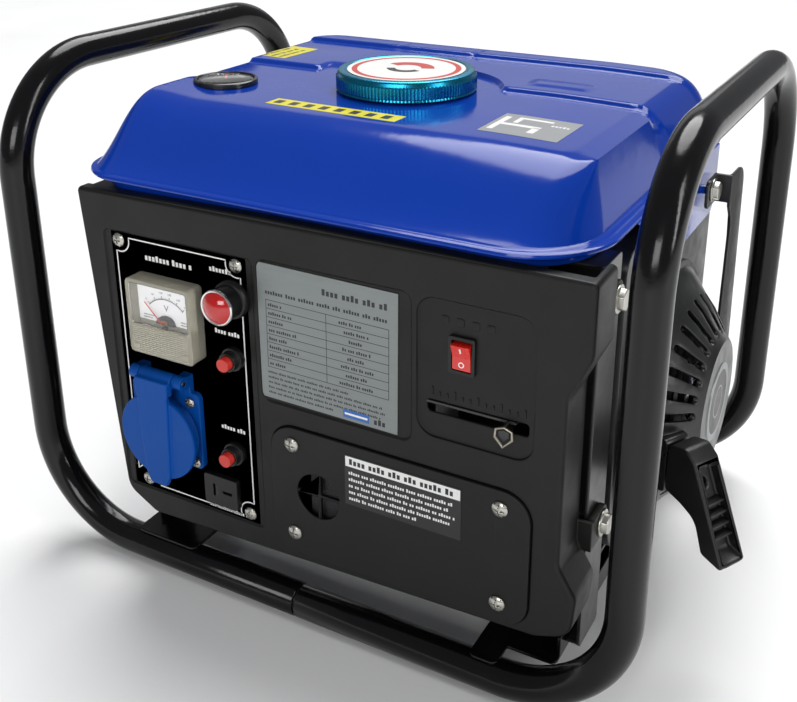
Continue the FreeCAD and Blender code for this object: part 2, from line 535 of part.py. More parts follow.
def build_cylinder():
    port_z = 190.0
    barrel = rod_z(29, CYL_X, CRANK_Y, (DECK_Z, HEAD_Z))
    flange = box((32, 88), (CRANK_Y - 28, CRANK_Y + 28), (DECK_Z, DECK_Z + 5))
    fins = [prism_z(corners_of((CYL_X - 38, CYL_X + 38), (CRANK_Y - 36, CRANK_Y + 36)), 10, (z, z + 2.2))
            for z in [182 + 6.4 * i for i in range(7)]]
    ports = [box((42, 78), (-40, 0), (168 + 6, port_z + 8)), box((40, 80), (10, 50), (port_z - 12, port_z + 12))]
    body = fuse([barrel, flange] + fins + ports)
    body = cut(body, [rod_z(BORE_R, CYL_X, CRANK_Y, (DECK_Z, HEAD_Z)),
                      rod_y(9, CYL_X, (-45, 0), 186), rod_y(10, CYL_X, (10, 55), port_z)])
    keep("cylinder", body)

    head_fins = [box((CYL_X - 36 + 9 * i, CYL_X - 34 + 9 * i), (CRANK_Y - 36, CRANK_Y + 36), (HEAD_Z, 242))
                 for i in range(9)]
    plate = prism_z(corners_of((CYL_X - 38, CYL_X + 38), (CRANK_Y - 36, CRANK_Y + 36)), 10, (HEAD_Z, HEAD_Z + 6))
    boss = box((24, CYL_X - 8), (CRANK_Y - 11, CRANK_Y + 11), (HEAD_Z, 242))
    head = fuse([plate, boss] + head_fins)
    chamber = rod_z(18, CYL_X, CRANK_Y, (HEAD_Z, HEAD_Z + 3))
    plug_hole = rod_x(6.0, (20, CYL_X - 12), CRANK_Y, 235.5)
    plug_seat = rod_x(8.0, (18, 24), CRANK_Y, 235.5)
    keep("cylinder_head", cut(head, [chamber, plug_hole, plug_seat]))

    plug_z = 235.5
    hexa = hexagon(V(13, CRANK_Y, plug_z), X_AXIS, Z_AXIS, 7.0, 8.0)
    keep("spark_plug", fuse([rod_x(6.0, (24, CYL_X - 13), CRANK_Y, plug_z), rod_x(6.8, (21, 24), CRANK_Y, plug_z),
                             hexa, rod_x(4.8, (-6, 13), CRANK_Y, plug_z), rod_x(6.6, (-26, 2), CRANK_Y, plug_z)]))


def build_crank_train():
    pin_z = CRANK_Z + CRANK_THROW
    wrist_z = pin_z + ROD_LENGTH
    webs = []
    for x in ((41, 53), (67, 79)):
        web = crank_rod(28, x).cut(box(x, (-50, 50), (CRANK_Z + 12, CRANK_Z + 60)))
        cheek = box(x, (CRANK_Y - 10, CRANK_Y + 10), (CRANK_Z, pin_z + 9))
        webs.append(fuse([web, cheek.common(crank_rod(30, x))]))
    shaft = fuse([crank_rod(SHAFT_R, (-118, 41)), crank_rod(SHAFT_R, (79, 152)), crank_rod(6, (152, 160)),
                  rod_x(7, (53, 67), CRANK_Y, pin_z)] + webs)
    keep("crankshaft", shaft)
    keep("big_end_bearing", ring_x(11.5, 7.0, (54, 66), CRANK_Y, pin_z))

    low_z = CRANK_Z + CRANK_THROW + 11.5 + 1.0
    shank = box((CYL_X - 3.5, CYL_X + 3.5), (CRANK_Y - 5, CRANK_Y + 5), (low_z, wrist_z))
    small_end = rod_x(8.5, (CYL_X - 6, CYL_X + 6), CRANK_Y, wrist_z)
    keep("connecting_rod", fuse([shank, small_end]).cut(rod_x(5.0, (40, 80), CRANK_Y, wrist_z)))

    piston = rod_z(BORE_R - 0.1, CYL_X, CRANK_Y, (wrist_z - 12, wrist_z + 18))
    hollow = rod_z(18.5, CYL_X, CRANK_Y, (wrist_z - 12, wrist_z + 13))
    bosses = [rod_x(8, x, CRANK_Y, wrist_z) for x in ((CYL_X - 21, CYL_X - 7), (CYL_X + 7, CYL_X + 21))]
    grooves = [rod_z(BORE_R + 1, CYL_X, CRANK_Y, (z, z + 1.6)).cut(rod_z(BORE_R - 2, CYL_X, CRANK_Y, (z, z + 1.6)))
               for z in (wrist_z + 10, wrist_z + 14)]
    body = cut(fuse([piston.cut(hollow)] + bosses), grooves)
    body = body.cut(rod_x(5.0, (30, 90), CRANK_Y, wrist_z))
    keep("piston", fuse([body, rod_x(5.0, (CYL_X - 20, CYL_X + 20), CRANK_Y, wrist_z)]))


def build_flywheel():
    disc = crank_rod(58, (120, 132)).cut(crank_rod(50, (115, 127)))
    hub = crank_rod(16, (116, 142))
    blade = box((132, 150), (CRANK_Y - 1.2, CRANK_Y + 1.2), (CRANK_Z + 30, CRANK_Z + 57))
    blade = turned(blade, V(0, CRANK_Y, CRANK_Z + 44), X_AXIS, 25)
    cup = crank_rod(27, (132, 156)).cut(crank_rod(23, (140, 157)))
    wheel = fuse([disc, hub, cup] + around(blade, V(0, CRANK_Y, CRANK_Z), X_AXIS, 16))
    keep("flywheel", wheel.cut(crank_rod(SHAFT_R, (115, 151))))

    coil_z = CRANK_Z + 58.8
    legs = [box((119, 131), (CRANK_Y + dy - 4, CRANK_Y + dy + 4), (coil_z + 3, coil_z + 26)) for dy in (-16, 16)]
    core = box((119, 131), (CRANK_Y - 20, CRANK_Y + 20), (coil_z + 22, coil_z + 30))
    winding = rod_z(12, 125, CRANK_Y - 16, (coil_z + 6, coil_z + 20))
    keep("ignition_coil", fuse(legs + [core, winding]))


def build_shroud():
    x = (106.0, RECOIL_X)
    outline = [(-78, 58), (88, 58), (98, 80), (98, 240), (-78, 240)]
    inner = [(-75, 61), (85, 61), (95, 81), (95, 237), (-75, 237)]
    shell = prism_x(outline, [18, 18, 18, 12, 12], x).cut(prism_x(inner, [15, 15, 15, 9, 9], (x[0] + 3, x[1] - 3)))
    mouth = crank_rod(68, (x[1] - 5, x[1] + 1))
    shaft_hole = crank_rod(20, (x[0] - 1, x[0] + 5))
    air_way = prism_x(corners_of((CRANK_Y - 34, CRANK_Y + 34), (182, 232)), 6, (x[0] - 1, x[0] + 5))
    keep("fan_shroud", cut(shell, [mouth, shaft_hole, air_way]))


# ---- recoil starter ---------------------------------------------------------------------------
HANDLE_TOP = (214.0, 126.5)       # x and z of the grip's outer face, upper end
HANDLE_FOOT = (239.5, 73.0)
HANDLE_Y = (-57.3, -38.7)
HANDLE_YAW = -28.0                # the outlet and grip turn towards the front about this upright line
YAW_AT = (186.0, -48.0)
ROPE_R = 2.2
ROPE_Z = 112.0
ROPE_X = (187.0, 212.0)           # the rope between the reel's outlet and the grip, before the yaw


def yawed(shape):
    return turned(shape, V(*YAW_AT, 0), Z_AXIS, HANDLE_YAW)


def build_recoil():
    half = [(RECOIL_X, 79), (RECOIL_X + 4, 79), (RECOIL_X + 4, RECOIL_R), (173, 71), (179, 63.5), (187, 55),
            (197.5, 40), (RECOIL_FACE_X, 37), (RECOIL_FACE_X, 0)]
    inner_half = [(RECOIL_FACE_X - 2.5, 0), (RECOIL_FACE_X - 2.5, 36), (195, 39), (185, 53), (177, 61),
                  (171, 68.5), (RECOIL_X, 71)]
    profile = [V(a, CRANK_Y, CRANK_Z + r) for a, r in half + inner_half]
    shell = Part.Face(Part.makePolygon(profile + [profile[0]]))
    shell = shell.revolve(V(0, CRANK_Y, CRANK_Z), X_AXIS, 360)
    slot = prism_x(corners_of((CRANK_Y - 2.3, CRANK_Y + 2.3), (CRANK_Z + 41, CRANK_Z + 61)), 2.2, (172, 210))
    slots = around(slot, V(0, CRANK_Y, CRANK_Z), X_AXIS, 28)
    middle_y = sum(HANDLE_Y) / 2
    rope_line = yawed(rod_x(ROPE_R + 0.5, (150, ROPE_X[1]), middle_y, ROPE_Z))
    boss = yawed(prism_y([(168, 114), (180, 102), (190, 97), (193.5, 98), (193.5, 130), (180, 128), (168, 122)],
                         [2, 2, 3, 2, 3, 4, 2], grown(HANDLE_Y, -1)))
    post = crank_rod(7, (168, RECOIL_FACE_X - 1))
    keepers = [slot_tool for slot_tool in slots if slot_tool.distToShape(boss)[0] > 1.0]
    cavity = [V(a, CRANK_Y, CRANK_Z + r) for a, r in inner_half + [(RECOIL_X, 0)]]
    cavity = Part.Face(Part.makePolygon(cavity + [cavity[0]])).revolve(V(0, CRANK_Y, CRANK_Z), X_AXIS, 360)
    housing = fuse([cut(shell, keepers), boss.cut(cavity), post])
    keep("recoil_housing", housing.cut(rope_line))

    drum = crank_rod(28, (170, 186))
    flanges = [crank_rod(44, (170, 172.5)), crank_rod(44, (183.5, 186))]
    pocket = crank_rod(24, (180, 187))
    keep("recoil_reel", cut(fuse([drum] + flanges), [pocket, crank_rod(7 + RUN_GAP, (165, 190))]))
    turns = [Part.makeTorus(28.2 + 2 * ROPE_R * layer + ROPE_R, ROPE_R - 0.05,
                            V(172.7 + ROPE_R + 2 * ROPE_R * i, CRANK_Y, CRANK_Z), X_AXIS)
             for layer in range(2) for i in range(2)]
    keep("rope_winding", *turns)
    keep("recoil_spring", spiral_spring(9, 22, 5, (181, 185.5)))

    keep("starter_rope", yawed(rod_x(ROPE_R, ROPE_X, middle_y, ROPE_Z)))

    outer = [(194.5, 101), (194.5, 129), (207, 132), HANDLE_TOP, HANDLE_FOOT, (223.5, 76), (217, 93.5),
             (206.5, 98)]
    grip = prism_y(outer, [3, 5, 5, 3, 2, 4, 12, 12], HANDLE_Y)
    run = V(HANDLE_FOOT[0] - HANDLE_TOP[0], 0, HANDLE_FOOT[1] - HANDLE_TOP[1]).normalize()
    out = V(-run.z, 0, run.x)
    top = V(HANDLE_TOP[0], 0, HANDLE_TOP[1])
    pocket_points = [top + run * 4 - out * 6.5, top + run * 49 - out * 6.5, top + run * 55.5 - out * 0.5,
                     top + run * 55.5 + out * 6.5, top + run * 4 + out * 6.5]
    pocket = prism_y([(p.x, p.z) for p in pocket_points], 0, grown(HANDLE_Y, -2.2))
    rope_hole = rod_x(ROPE_R + 0.3, (190, ROPE_X[1] + 6), middle_y, ROPE_Z)
    keep("starter_handle", yawed(cut(grip, [pocket, rope_hole])))


def spiral_spring(inner_r, outer_r, turns, x):
    """Flat spiral strip wound from half circles whose centres alternate."""
    pitch = (outer_r - inner_r) / turns
    strip = 0.6
    parts = []
    for i in range(2 * turns):
        radius = inner_r + pitch / 4 + pitch * i / 2
        upper = i % 2 == 0
        centre_y = CRANK_Y + (0 if upper else -pitch / 2)
        ring = ring_x(radius + strip, radius, x, centre_y, CRANK_Z)
        side = (CRANK_Z, CRANK_Z + 60) if upper else (CRANK_Z - 60, CRANK_Z)
        parts.append(ring.common(box(x, (-60, 70), side)))
    return fuse(parts)


# ---- alternator -------------------------------------------------------------------------------
def build_alternator():
    core = crank_rod(56, STATOR_X).cut(crank_rod(ROTOR_R + 0.6, STATOR_X))
    keep("alternator_stator", core)
    rings = [ring_x(51, 39, x, CRANK_Y, CRANK_Z) for x in ((-99, -85), (-30, -17))]
    keep("stator_windings", *rings)
    rotor = crank_rod(ROTOR_R, STATOR_X).cut(crank_rod(SHAFT_R, STATOR_X))
    grooves = [turned(box(STATOR_X, (CRANK_Y - 2, CRANK_Y + 2), (CRANK_Z + 22, CRANK_Z + 40)),
                      V(0, CRANK_Y, CRANK_Z), X_AXIS, angle) for angle in range(0, 360, 30)]
    keep("alternator_rotor", cut(rotor, grooves))

    bell_a = crank_rod(58, (-30, 21)).cut(crank_rod(54, (-31, 18)))
    vents = around(box((-22, 8), (CRANK_Y - 7, CRANK_Y + 7), (CRANK_Z + 40, CRANK_Z + 70)),
                   V(0, CRANK_Y, CRANK_Z), X_AXIS, 8)
    bell_a = cut(bell_a, vents + [crank_rod(13, (16, 22))])
    bell_b = crank_rod(58, (-112, -85)).cut(crank_rod(54, (-108, -84)))
    seat = crank_rod(24, (-112, -98))
    bell_b = fuse([bell_b, seat])
    spokes_gap = around(box((-113, -107), (CRANK_Y - 9, CRANK_Y + 9), (CRANK_Z + 28, CRANK_Z + 48)),
                        V(0, CRANK_Y, CRANK_Z), X_AXIS, 6)
    bell_b = cut(bell_b, spokes_gap + [crank_rod(20, (-108, -97)), crank_rod(10, (-113, -107))])
    keep("alternator_housing", bell_a, bell_b)

    cover = crank_rod(64, (-138, -104)).cut(crank_rod(61, (-135, -103)))
    louvres = [prism_x(corners_of((CRANK_Y - 40 + abs(i) * 4, CRANK_Y + 40 - abs(i) * 4),
                                  (CRANK_Z + 10 * i - 2.5, CRANK_Z + 10 * i + 2.5)), 2, (-140, -133))
               for i in range(-4, 5)]
    keep("alternator_end_cover", cut(cover, louvres))
    keep("capacitor", fuse([rod_x(17, (-100, -45), -68, 175), box((-84, -60), (-62, -40), (165, 185))]))


# ---- carburettor, exhaust and fuel system ---------------------------------------------------------
EXHAUST = (-5.0, 118.0)          # x and z of the tail pipe
PIPE_R = 8.0
PIPE_Y = (124.0, 147.0)


def build_carburettor():
    z = 186.0
    body = fuse([rod_y(15, CYL_X, (-86, -46), z), box((CYL_X - 19, CYL_X + 19), (-46, -40), (z - 12, z + 12)),
                 rod_z(15, CYL_X, -68, (152, z)), rod_z(5, CYL_X, -68, (146, 152)),
                 box((CYL_X - 16, CYL_X + 16), (-114, -86), (99, z + 14))])
    bore = [rod_y(8.5, CYL_X, (-100, -39), z),
            box((CYL_X - 12, CYL_X + 12), (-110, -90), (103, z + 10)),
            rod_y(11.5, CYL_X, (-116, -100), 112)]
    keep("carburettor", cut(body, bore))


def build_exhaust():
    body = prism_x(corners_of((64, 122), (102, 216)), 14, (-26, 102))
    neck = box((42, 78), (50, 66), (178, 202))
    seam = prism_x(corners_of((92, 94), (98, 220)), 1, (-30, 105))
    root = rod_y(PIPE_R + 0.8, EXHAUST[0], (118, PIPE_Y[0]), EXHAUST[1])
    tail = rod_y(PIPE_R, EXHAUST[0], PIPE_Y, EXHAUST[1])
    solid = fuse([body, neck, seam, root, tail])
    hollow = prism_x(corners_of((66, 120), (104, 214)), 12, (-24, 100))
    keep("muffler", cut(solid, [hollow, rod_y(10, CYL_X, (48, 70), 190),
                                rod_y(6.5, EXHAUST[0], (116, 149), EXHAUST[1])]))

    plate = prism_y(corners_of((-42, 122), (84, 234)), 10, (127, 128.5))
    slots = [prism_y(corners_of((x, x + 6), (z, z + 40)), 2.8, (125, 131))
             for x in range(18, 108, 12) for z in (112, 166)]
    slots += [prism_y(corners_of((x, x + 6), (166, 206)), 2.8, (125, 131)) for x in range(-30, 12, 12)]
    tail_hole = rod_y(13, EXHAUST[0], (125, 131), EXHAUST[1])
    tabs = [box((x, x + 9), (122, 127), (z, z + 1.5)) for x in (-24, 86) for z in (120, 200)]
    keep("muffler_guard", cut(fuse([plate] + tabs), slots + [tail_hole]))


def tank_form(inset):
    """Pressed tank top: three prisms crossed and dished round the filler, all shrunk by inset."""
    i = inset
    low = TANK_TOP_Z - i
    middle = low + TERRACE_RISE
    high = middle + TERRACE_RISE
    first, second = TERRACE_Y[0] + i, TERRACE_Y[1] + i
    side = [(-143 + i, 250), (-143 + i, 259), (-92 + i, low),
            (first, low), (first + TERRACE_RISE, middle), (second, middle), (second + TERRACE_RISE, high),
            (109 - i, high), (129 - i, 277 - i), (133 - i, 258), (133 - i, 250)]
    front = [(DOME_X[0] + i, 250), (DOME_X[0] + 1 + i, 262), (-138 + i, high), (146 - i, high),
             (150 - i, 289 - i), (DOME_X[1] - i, 258), (DOME_X[1] - i, 250)]
    crossed = prism_x(side, [0, 8, 26, 1, 1, 1, 1, 9, 12, 0, 0], (-160, 180))
    crossed = crossed.common(prism_y(front, [0, 6, 14, 4, 3, 0, 0], (-160, 160)))
    plan = prism_z(corners_of(grown(DOME_X, -i), (-143 + i, 133 - i)), 38 - i, (250, 300))
    return crossed.common(plan).cut(rod_z(DISH_R + i, *FILLER, (low, 300)))


def build_tank():
    flange = prism_z(corners_of(FLANGE_X, (-146, 136)), 42, FLANGE_Z)
    bottom = ((-141, 157), (-137, 128))
    lower = prism_z(corners_of(*bottom), 36, (TANK_BOTTOM_Z, 257))
    lower_in = prism_z(corners_of(grown(bottom[0], -TANK_WALL), grown(bottom[1], -TANK_WALL)), 34,
                       (TANK_BOTTOM_Z + TANK_WALL, 257))
    upper = tank_form(0).common(box((-200, 200), (-200, 200), (256, 300)))
    upper_in = tank_form(TANK_WALL).common(box((-200, 200), (-200, 200), (256.9, 300)))
    x, y = FILLER
    neck = rod_z(32, x, y, (282, 296))
    skirt = [(-75, 257), (-62, 251), (15, 214), (84, 214), (92, 222), (92, 257)]
    ears = [prism_x(skirt, [0, 6, 12, 6, 8, 0], SKIRT_X), box((-150, -147.5), (56, 90), (222, 257))]
    body = fuse([flange, lower, upper])
    body = cut(body, [lower_in, upper_in])
    body = fuse([body, neck] + ears)
    holes = [rod_z(29, x, y, (270, 300))]
    holes += [rod_x(3.0, span, 73, 232) for span in ((164, 170), (-152, -146))]
    holes += [rod_z(17.5, -110, -43, (280, 300)), rod_z(6.0, 118, -96, (240, 252))]
    keep("fuel_tank", cut(body, holes))

    cap = fuse([rod_z(43, x, y, (294, 303)), rod_z(41, x, y, (303, 305))])
    rim = rod_z(44, x, y, (291.9 + 1.0, 294))
    cap = fuse([cap, rim.common(rod_z(43, x, y, (292, 294)))])
    cap = cap.cut(rod_z(34, x, y, (290, 299)))
    flutes = around(rod_z(1.2, x + 43.4, y, (294.5, 302)), V(x, y, 0), Z_AXIS, 48)
    keep("fuel_cap", cut(cap, flutes))
    keep("cap_seal", rod_z(33.6, x, y, (296.05, 298.9)).cut(rod_z(28.5, x, y, (296, 299))))
    gauge = fuse([rod_z(20, -110, -43, (292.1, 296)), rod_z(17.4, -110, -43, (286, 292.1)),
                  rod_z(1.5, -110, -43, (256, 286)), rod_z(9, -110, -43, (251, 256))])
    keep("fuel_gauge", gauge.cut(rod_z(16, -110, -43, (294, 297))))


def build_fuel_tap():
    x, y = 118.0, -96.0
    body = fuse([rod_z(5.9, x, y, (228, 252)), rod_z(9, x, y, (240, 246.9)),
                 box((x - 9, x + 9), (y - 7, y + 7), (216, 232)), rod_z(3.5, x, y, (202, 216))])
    keep("fuel_tap", body)
    face = y - 7.3
    keep("fuel_tap_lever", fuse([rod_y(7.5, x, (face - 4, face), 224),
                                 prism_y([(x - 4, 224), (x + 4, 224), (x + 3, 198), (x - 3, 198)], 1,
                                         (face - 4, face - 1))]))


def main():
    build_frame()
    build_mounts()
    build_cover()
    build_brackets()
    build_panel()
    build_voltmeter()
    build_small_devices()
    build_ac_socket()
    build_switch_and_choke()
    build_air_filter()
    build_crankcase()
    build_cylinder()
    build_crank_train()
    build_flywheel()
    build_shroud()
    build_recoil()
    build_alternator()
    build_carburettor()
    build_exhaust()
    build_tank()
    build_fuel_tap()
    os.makedirs("parts", exist_ok=True)
    for name, shape in PIECES.items():
        shape.exportStep("parts/" + name + ".step")
        print("%-24s solids %2d  valid %s  volume %.1f cm3" % (
            name, len(shape.Solids), shape.isValid(), shape.Volume / 1000.0))
    print(len(PIECES), "pieces")


main()
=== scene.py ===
"""Looks of the tubular-frame petrol generator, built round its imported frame.

Lengths are millimetres in the row frame, and MM turns them into metres.
+X is the recoil starter side, -Y is the control panel side and +Z is up.
"""

import json
from math import asin, atan2, copysign, cos, degrees, hypot, pi, radians, sin, sqrt, tan

import bmesh
import bpy
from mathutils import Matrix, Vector
from mathutils.bvhtree import BVHTree
from mathutils.geometry import delaunay_2d_cdt


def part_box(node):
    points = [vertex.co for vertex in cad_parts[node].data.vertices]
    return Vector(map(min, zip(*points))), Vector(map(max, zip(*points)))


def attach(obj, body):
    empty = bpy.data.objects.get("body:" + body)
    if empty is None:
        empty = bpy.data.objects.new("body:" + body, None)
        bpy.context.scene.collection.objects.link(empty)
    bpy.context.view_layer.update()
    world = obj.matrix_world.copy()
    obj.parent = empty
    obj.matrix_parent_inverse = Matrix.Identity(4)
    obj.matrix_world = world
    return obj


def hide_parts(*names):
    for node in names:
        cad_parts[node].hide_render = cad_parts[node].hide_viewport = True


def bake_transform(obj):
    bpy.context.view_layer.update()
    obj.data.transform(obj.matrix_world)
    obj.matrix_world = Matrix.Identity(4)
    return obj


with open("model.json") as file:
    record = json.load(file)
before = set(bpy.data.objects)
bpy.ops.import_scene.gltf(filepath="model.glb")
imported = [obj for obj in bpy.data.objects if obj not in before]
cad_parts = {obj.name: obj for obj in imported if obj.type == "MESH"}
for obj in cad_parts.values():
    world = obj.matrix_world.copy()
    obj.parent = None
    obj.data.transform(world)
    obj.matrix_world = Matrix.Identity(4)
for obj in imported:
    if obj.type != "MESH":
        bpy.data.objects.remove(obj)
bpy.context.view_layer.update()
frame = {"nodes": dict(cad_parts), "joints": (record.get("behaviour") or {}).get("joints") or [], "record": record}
MM = 0.001
ROOT = "generator_body"
TURN = 2 * pi
BODY_OF = {node: body for body, nodes in frame["record"]["behaviour"]["bodies"].items() for node in nodes}


class Span:
    """The box of a CAD node: x0..x1, y0..y1, z0..z1, and its middle x, y, z."""

    def __init__(self, node):
        low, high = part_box(node)
        self.x0, self.y0, self.z0 = low / MM
        self.x1, self.y1, self.z1 = high / MM
        self.x, self.y, self.z = (low + high) / (2 * MM)


# ---- materials ----
FINISHES = {}
ORANGE_PEEL = ((260.0, 0.00006, 2.0),)
SPARK_GRAIN = ((2300.0, 0.00007, 3.0), (420.0, 0.00004, 2.0))
SOFT_GRAIN = ((1500.0, 0.00003, 2.0),)
CAST_GRAIN = ((900.0, 0.00022, 4.0), (160.0, 0.0002, 2.0))
ROLLED_GRAIN = ((700.0, 0.00003, 3.0), (90.0, 0.00008, 1.0))


def tinted(colour, factor):
    channels = colour if isinstance(colour, tuple) else (colour,) * 3
    return tuple(min(1.0, channel * factor) for channel in channels) + (1.0,)


def put(node, **values):
    """Set a node's input sockets; an underscore stands for a space in a socket's name."""
    for socket, value in values.items():
        node.inputs[socket.replace("_", " ")].default_value = value


def finish(name, colour, rough, metal=0.0, spread=0.15, blotch=40.0, uneven=0.06,
           grain=SOFT_GRAIN, stretch=(1, 1, 1), **constants):
    """Keep a node material by its name: blotchy colour and roughness, and layers of grain as bump.

    colour is one number for a grey. spread and uneven are how far colour and roughness stray.
    grain holds (scale per metre, depth in metres, detail) for each layer; constants are shader sockets.
    """
    material = bpy.data.materials.new(name)
    material.use_nodes = True
    nodes, link = material.node_tree.nodes, material.node_tree.links.new
    shader = nodes["Principled BSDF"]
    place = nodes.new("ShaderNodeTexCoord")
    scaled = nodes.new("ShaderNodeMapping")
    put(scaled, Scale=stretch)
    link(place.outputs["Object"], scaled.inputs["Vector"])

    def noise(scale, detail):
        node = nodes.new("ShaderNodeTexNoise")
        put(node, Scale=scale, Detail=detail)
        link(scaled.outputs["Vector"], node.inputs["Vector"])
        return node.outputs["Fac"]

    tint = nodes.new("ShaderNodeMix")
    tint.data_type = "RGBA"
    tint.inputs[6].default_value = tinted(colour, 1 - spread)
    tint.inputs[7].default_value = tinted(colour, 1 + spread)
    link(noise(blotch, 5), tint.inputs[0])
    link(tint.outputs[2], shader.inputs["Base Color"])

    polish = nodes.new("ShaderNodeMapRange")
    put(polish, From_Min=0.3, From_Max=0.7, To_Min=max(0.02, rough - uneven),
        To_Max=min(1.0, rough + uneven))
    link(noise(blotch * 2.3, 6), polish.inputs["Value"])
    link(polish.outputs["Result"], shader.inputs["Roughness"])

    normal = None
    for scale, depth, detail in grain:
        bump = nodes.new("ShaderNodeBump")
        put(bump, Strength=1.0, Distance=depth)
        link(noise(scale, detail), bump.inputs["Height"])
        if normal is not None:
            link(normal, bump.inputs["Normal"])
        normal = bump.outputs["Normal"]
    if normal is not None:
        link(normal, shader.inputs["Normal"])
    put(shader, Metallic=metal, **constants)
    FINISHES[name] = material


finish("frame_black", (0.003, 0.003, 0.0035), 0.15, grain=ORANGE_PEEL, uneven=0.04, Specular_IOR_Level=0.3)
finish("black_steel", 0.012, 0.34, grain=ROLLED_GRAIN, Coat_Weight=0.15, Coat_Roughness=0.2)
finish("nickel_screw", (0.46, 0.45, 0.41), 0.3, metal=1.0, spread=0.15)
finish("black_plastic", (0.0065, 0.007, 0.006), 0.46, grain=SPARK_GRAIN, spread=0.1, blotch=25.0,
       Specular_IOR_Level=0.26)
finish("gloss_plastic", (0.008, 0.0085, 0.008), 0.33, spread=0.1)
finish("panel_black", (0.0085, 0.009, 0.009), 0.34, uneven=0.05)
finish("meter_cream", (0.74, 0.71, 0.58), 0.16, spread=0.05, uneven=0.04, Transmission_Weight=0.62,
       IOR=1.36)
finish("meter_clear", (0.80, 0.78, 0.66), 0.12, spread=0.03, uneven=0.03, Transmission_Weight=0.55,
       IOR=1.45)
finish("clear_window", 1.0, 0.03, spread=0.0, uneven=0.01, Transmission_Weight=1.0, IOR=1.47, grain=())
finish("needle_red", (0.62, 0.02, 0.012), 0.4)
finish("lamp_red", (0.46, 0.006, 0.006), 0.12, spread=0.1, uneven=0.03, Subsurface_Weight=0.2,
       Subsurface_Scale=0.003, Coat_Weight=0.6, Coat_Roughness=0.04)
finish("button_red", (0.56, 0.028, 0.018), 0.36, spread=0.08)
finish("switch_black", 0.006, 0.36, Specular_IOR_Level=0.35)
finish("socket_blue", (0.001, 0.062, 0.31), 0.45, spread=0.06, Specular_IOR_Level=0.14)
finish("rocker_red", (0.62, 0.014, 0.008), 0.26, spread=0.06, Coat_Weight=0.4, Coat_Roughness=0.08)
finish("lever_zinc", (0.36, 0.33, 0.27), 0.36, metal=1.0, grain=ROLLED_GRAIN, spread=0.25)
finish("foam", (0.035, 0.036, 0.038), 0.95, grain=((1200.0, 0.0006, 2.0),))
finish("cast_aluminium", (0.52, 0.52, 0.50), 0.48, metal=1.0, grain=CAST_GRAIN, spread=0.2)
finish("machined_steel", (0.56, 0.56, 0.55), 0.25, metal=1.0, stretch=(6, 1, 1),
       grain=((500.0, 0.00003, 3.0),))
finish("bearing_steel", (0.62, 0.62, 0.61), 0.14, metal=1.0)
finish("laminated_steel", (0.32, 0.33, 0.34), 0.42, metal=1.0, stretch=(30, 1, 1),
       grain=((120.0, 0.0004, 1.0),))
finish("copper_winding", (0.55, 0.20, 0.08), 0.3, metal=1.0, stretch=(1, 6, 6), spread=0.35,
       grain=((260.0, 0.0006, 1.0),))
finish("rubber_black", 0.014, 0.78, grain=((900.0, 0.00012, 3.0),))
finish("handle_black", 0.006, 0.4, grain=SPARK_GRAIN, spread=0.1)
finish("rope", (0.05, 0.05, 0.052), 0.85, grain=((2600.0, 0.0002, 2.0),), spread=0.4)
finish("spring_steel", (0.25, 0.26, 0.30), 0.3, metal=1.0)
finish("exhaust_steel", (0.36, 0.33, 0.29), 0.42, metal=1.0, spread=0.35, blotch=25.0, grain=ROLLED_GRAIN)
finish("tank_blue", (0.003, 0.036, 0.32), 0.12, spread=0.05, blotch=12.0, uneven=0.03,
       grain=((120.0, 0.00005, 1.0),), Specular_IOR_Level=0.27)
finish("cap_teal", (0.012, 0.23, 0.38), 0.27, metal=1.0, spread=0.12, uneven=0.04)
finish("gauge_black", (0.012, 0.012, 0.013), 0.25)
finish("coil_black", 0.012, 0.55, grain=CAST_GRAIN)
finish("ceramic_black", 0.02, 0.45)
finish("chrome", 0.80, 0.08, metal=1.0, spread=0.05, uneven=0.03)
finish("plate_silver", (0.20, 0.22, 0.22), 0.36, metal=0.4, spread=0.08, stretch=(1, 1, 14),
       grain=((500.0, 0.00001, 2.0),))
finish("print_black", (0.010, 0.010, 0.011), 0.35)
finish("print_white", (0.78, 0.78, 0.76), 0.4, spread=0.05)
finish("dial_white", (0.90, 0.90, 0.92), 0.5, spread=0.02)
finish("print_blue", (0.02, 0.12, 0.42), 0.35, spread=0.08)
finish("print_red", (0.55, 0.035, 0.025), 0.35, spread=0.08)
finish("sticker_yellow", (0.70, 0.62, 0.012), 0.34, spread=0.05)
finish("sticker_grey", (0.27, 0.28, 0.29), 0.36, spread=0.06)
finish("badge_grey", (0.05, 0.045, 0.045), 0.45, metal=0.3, spread=0.15)
finish("studio_floor", 0.86, 0.55, spread=0.01, blotch=2.0, grain=((300.0, 0.00005, 2.0),))


# ---- mesh helpers ----
SLOTS = {material["slot"] for material in frame["record"]["materials"]}
HARD_EDGE_DEGREES = 40
SHADE_DEGREES = 28
FLAT_FACE_AREA = 30
EDGE_STEPS = 2


def new_object(name, data):
    made = bpy.data.objects.new(name, data)
    bpy.context.scene.collection.objects.link(made)
    return made


def cleaned(mesh, weld=0.0):
    """Weld a mesh's points that are closer than weld, and turn its faces outward."""
    form = bmesh.new()
    form.from_mesh(mesh)
    if weld:
        bmesh.ops.remove_doubles(form, verts=form.verts, dist=weld)
    bmesh.ops.recalc_face_normals(form, faces=form.faces)
    form.to_mesh(mesh)
    form.free()


def smooth(mesh, sharp_degrees):
    mesh.polygons.foreach_set("use_smooth", [True] * len(mesh.polygons))
    mesh.set_sharp_from_angle(angle=radians(sharp_degrees))


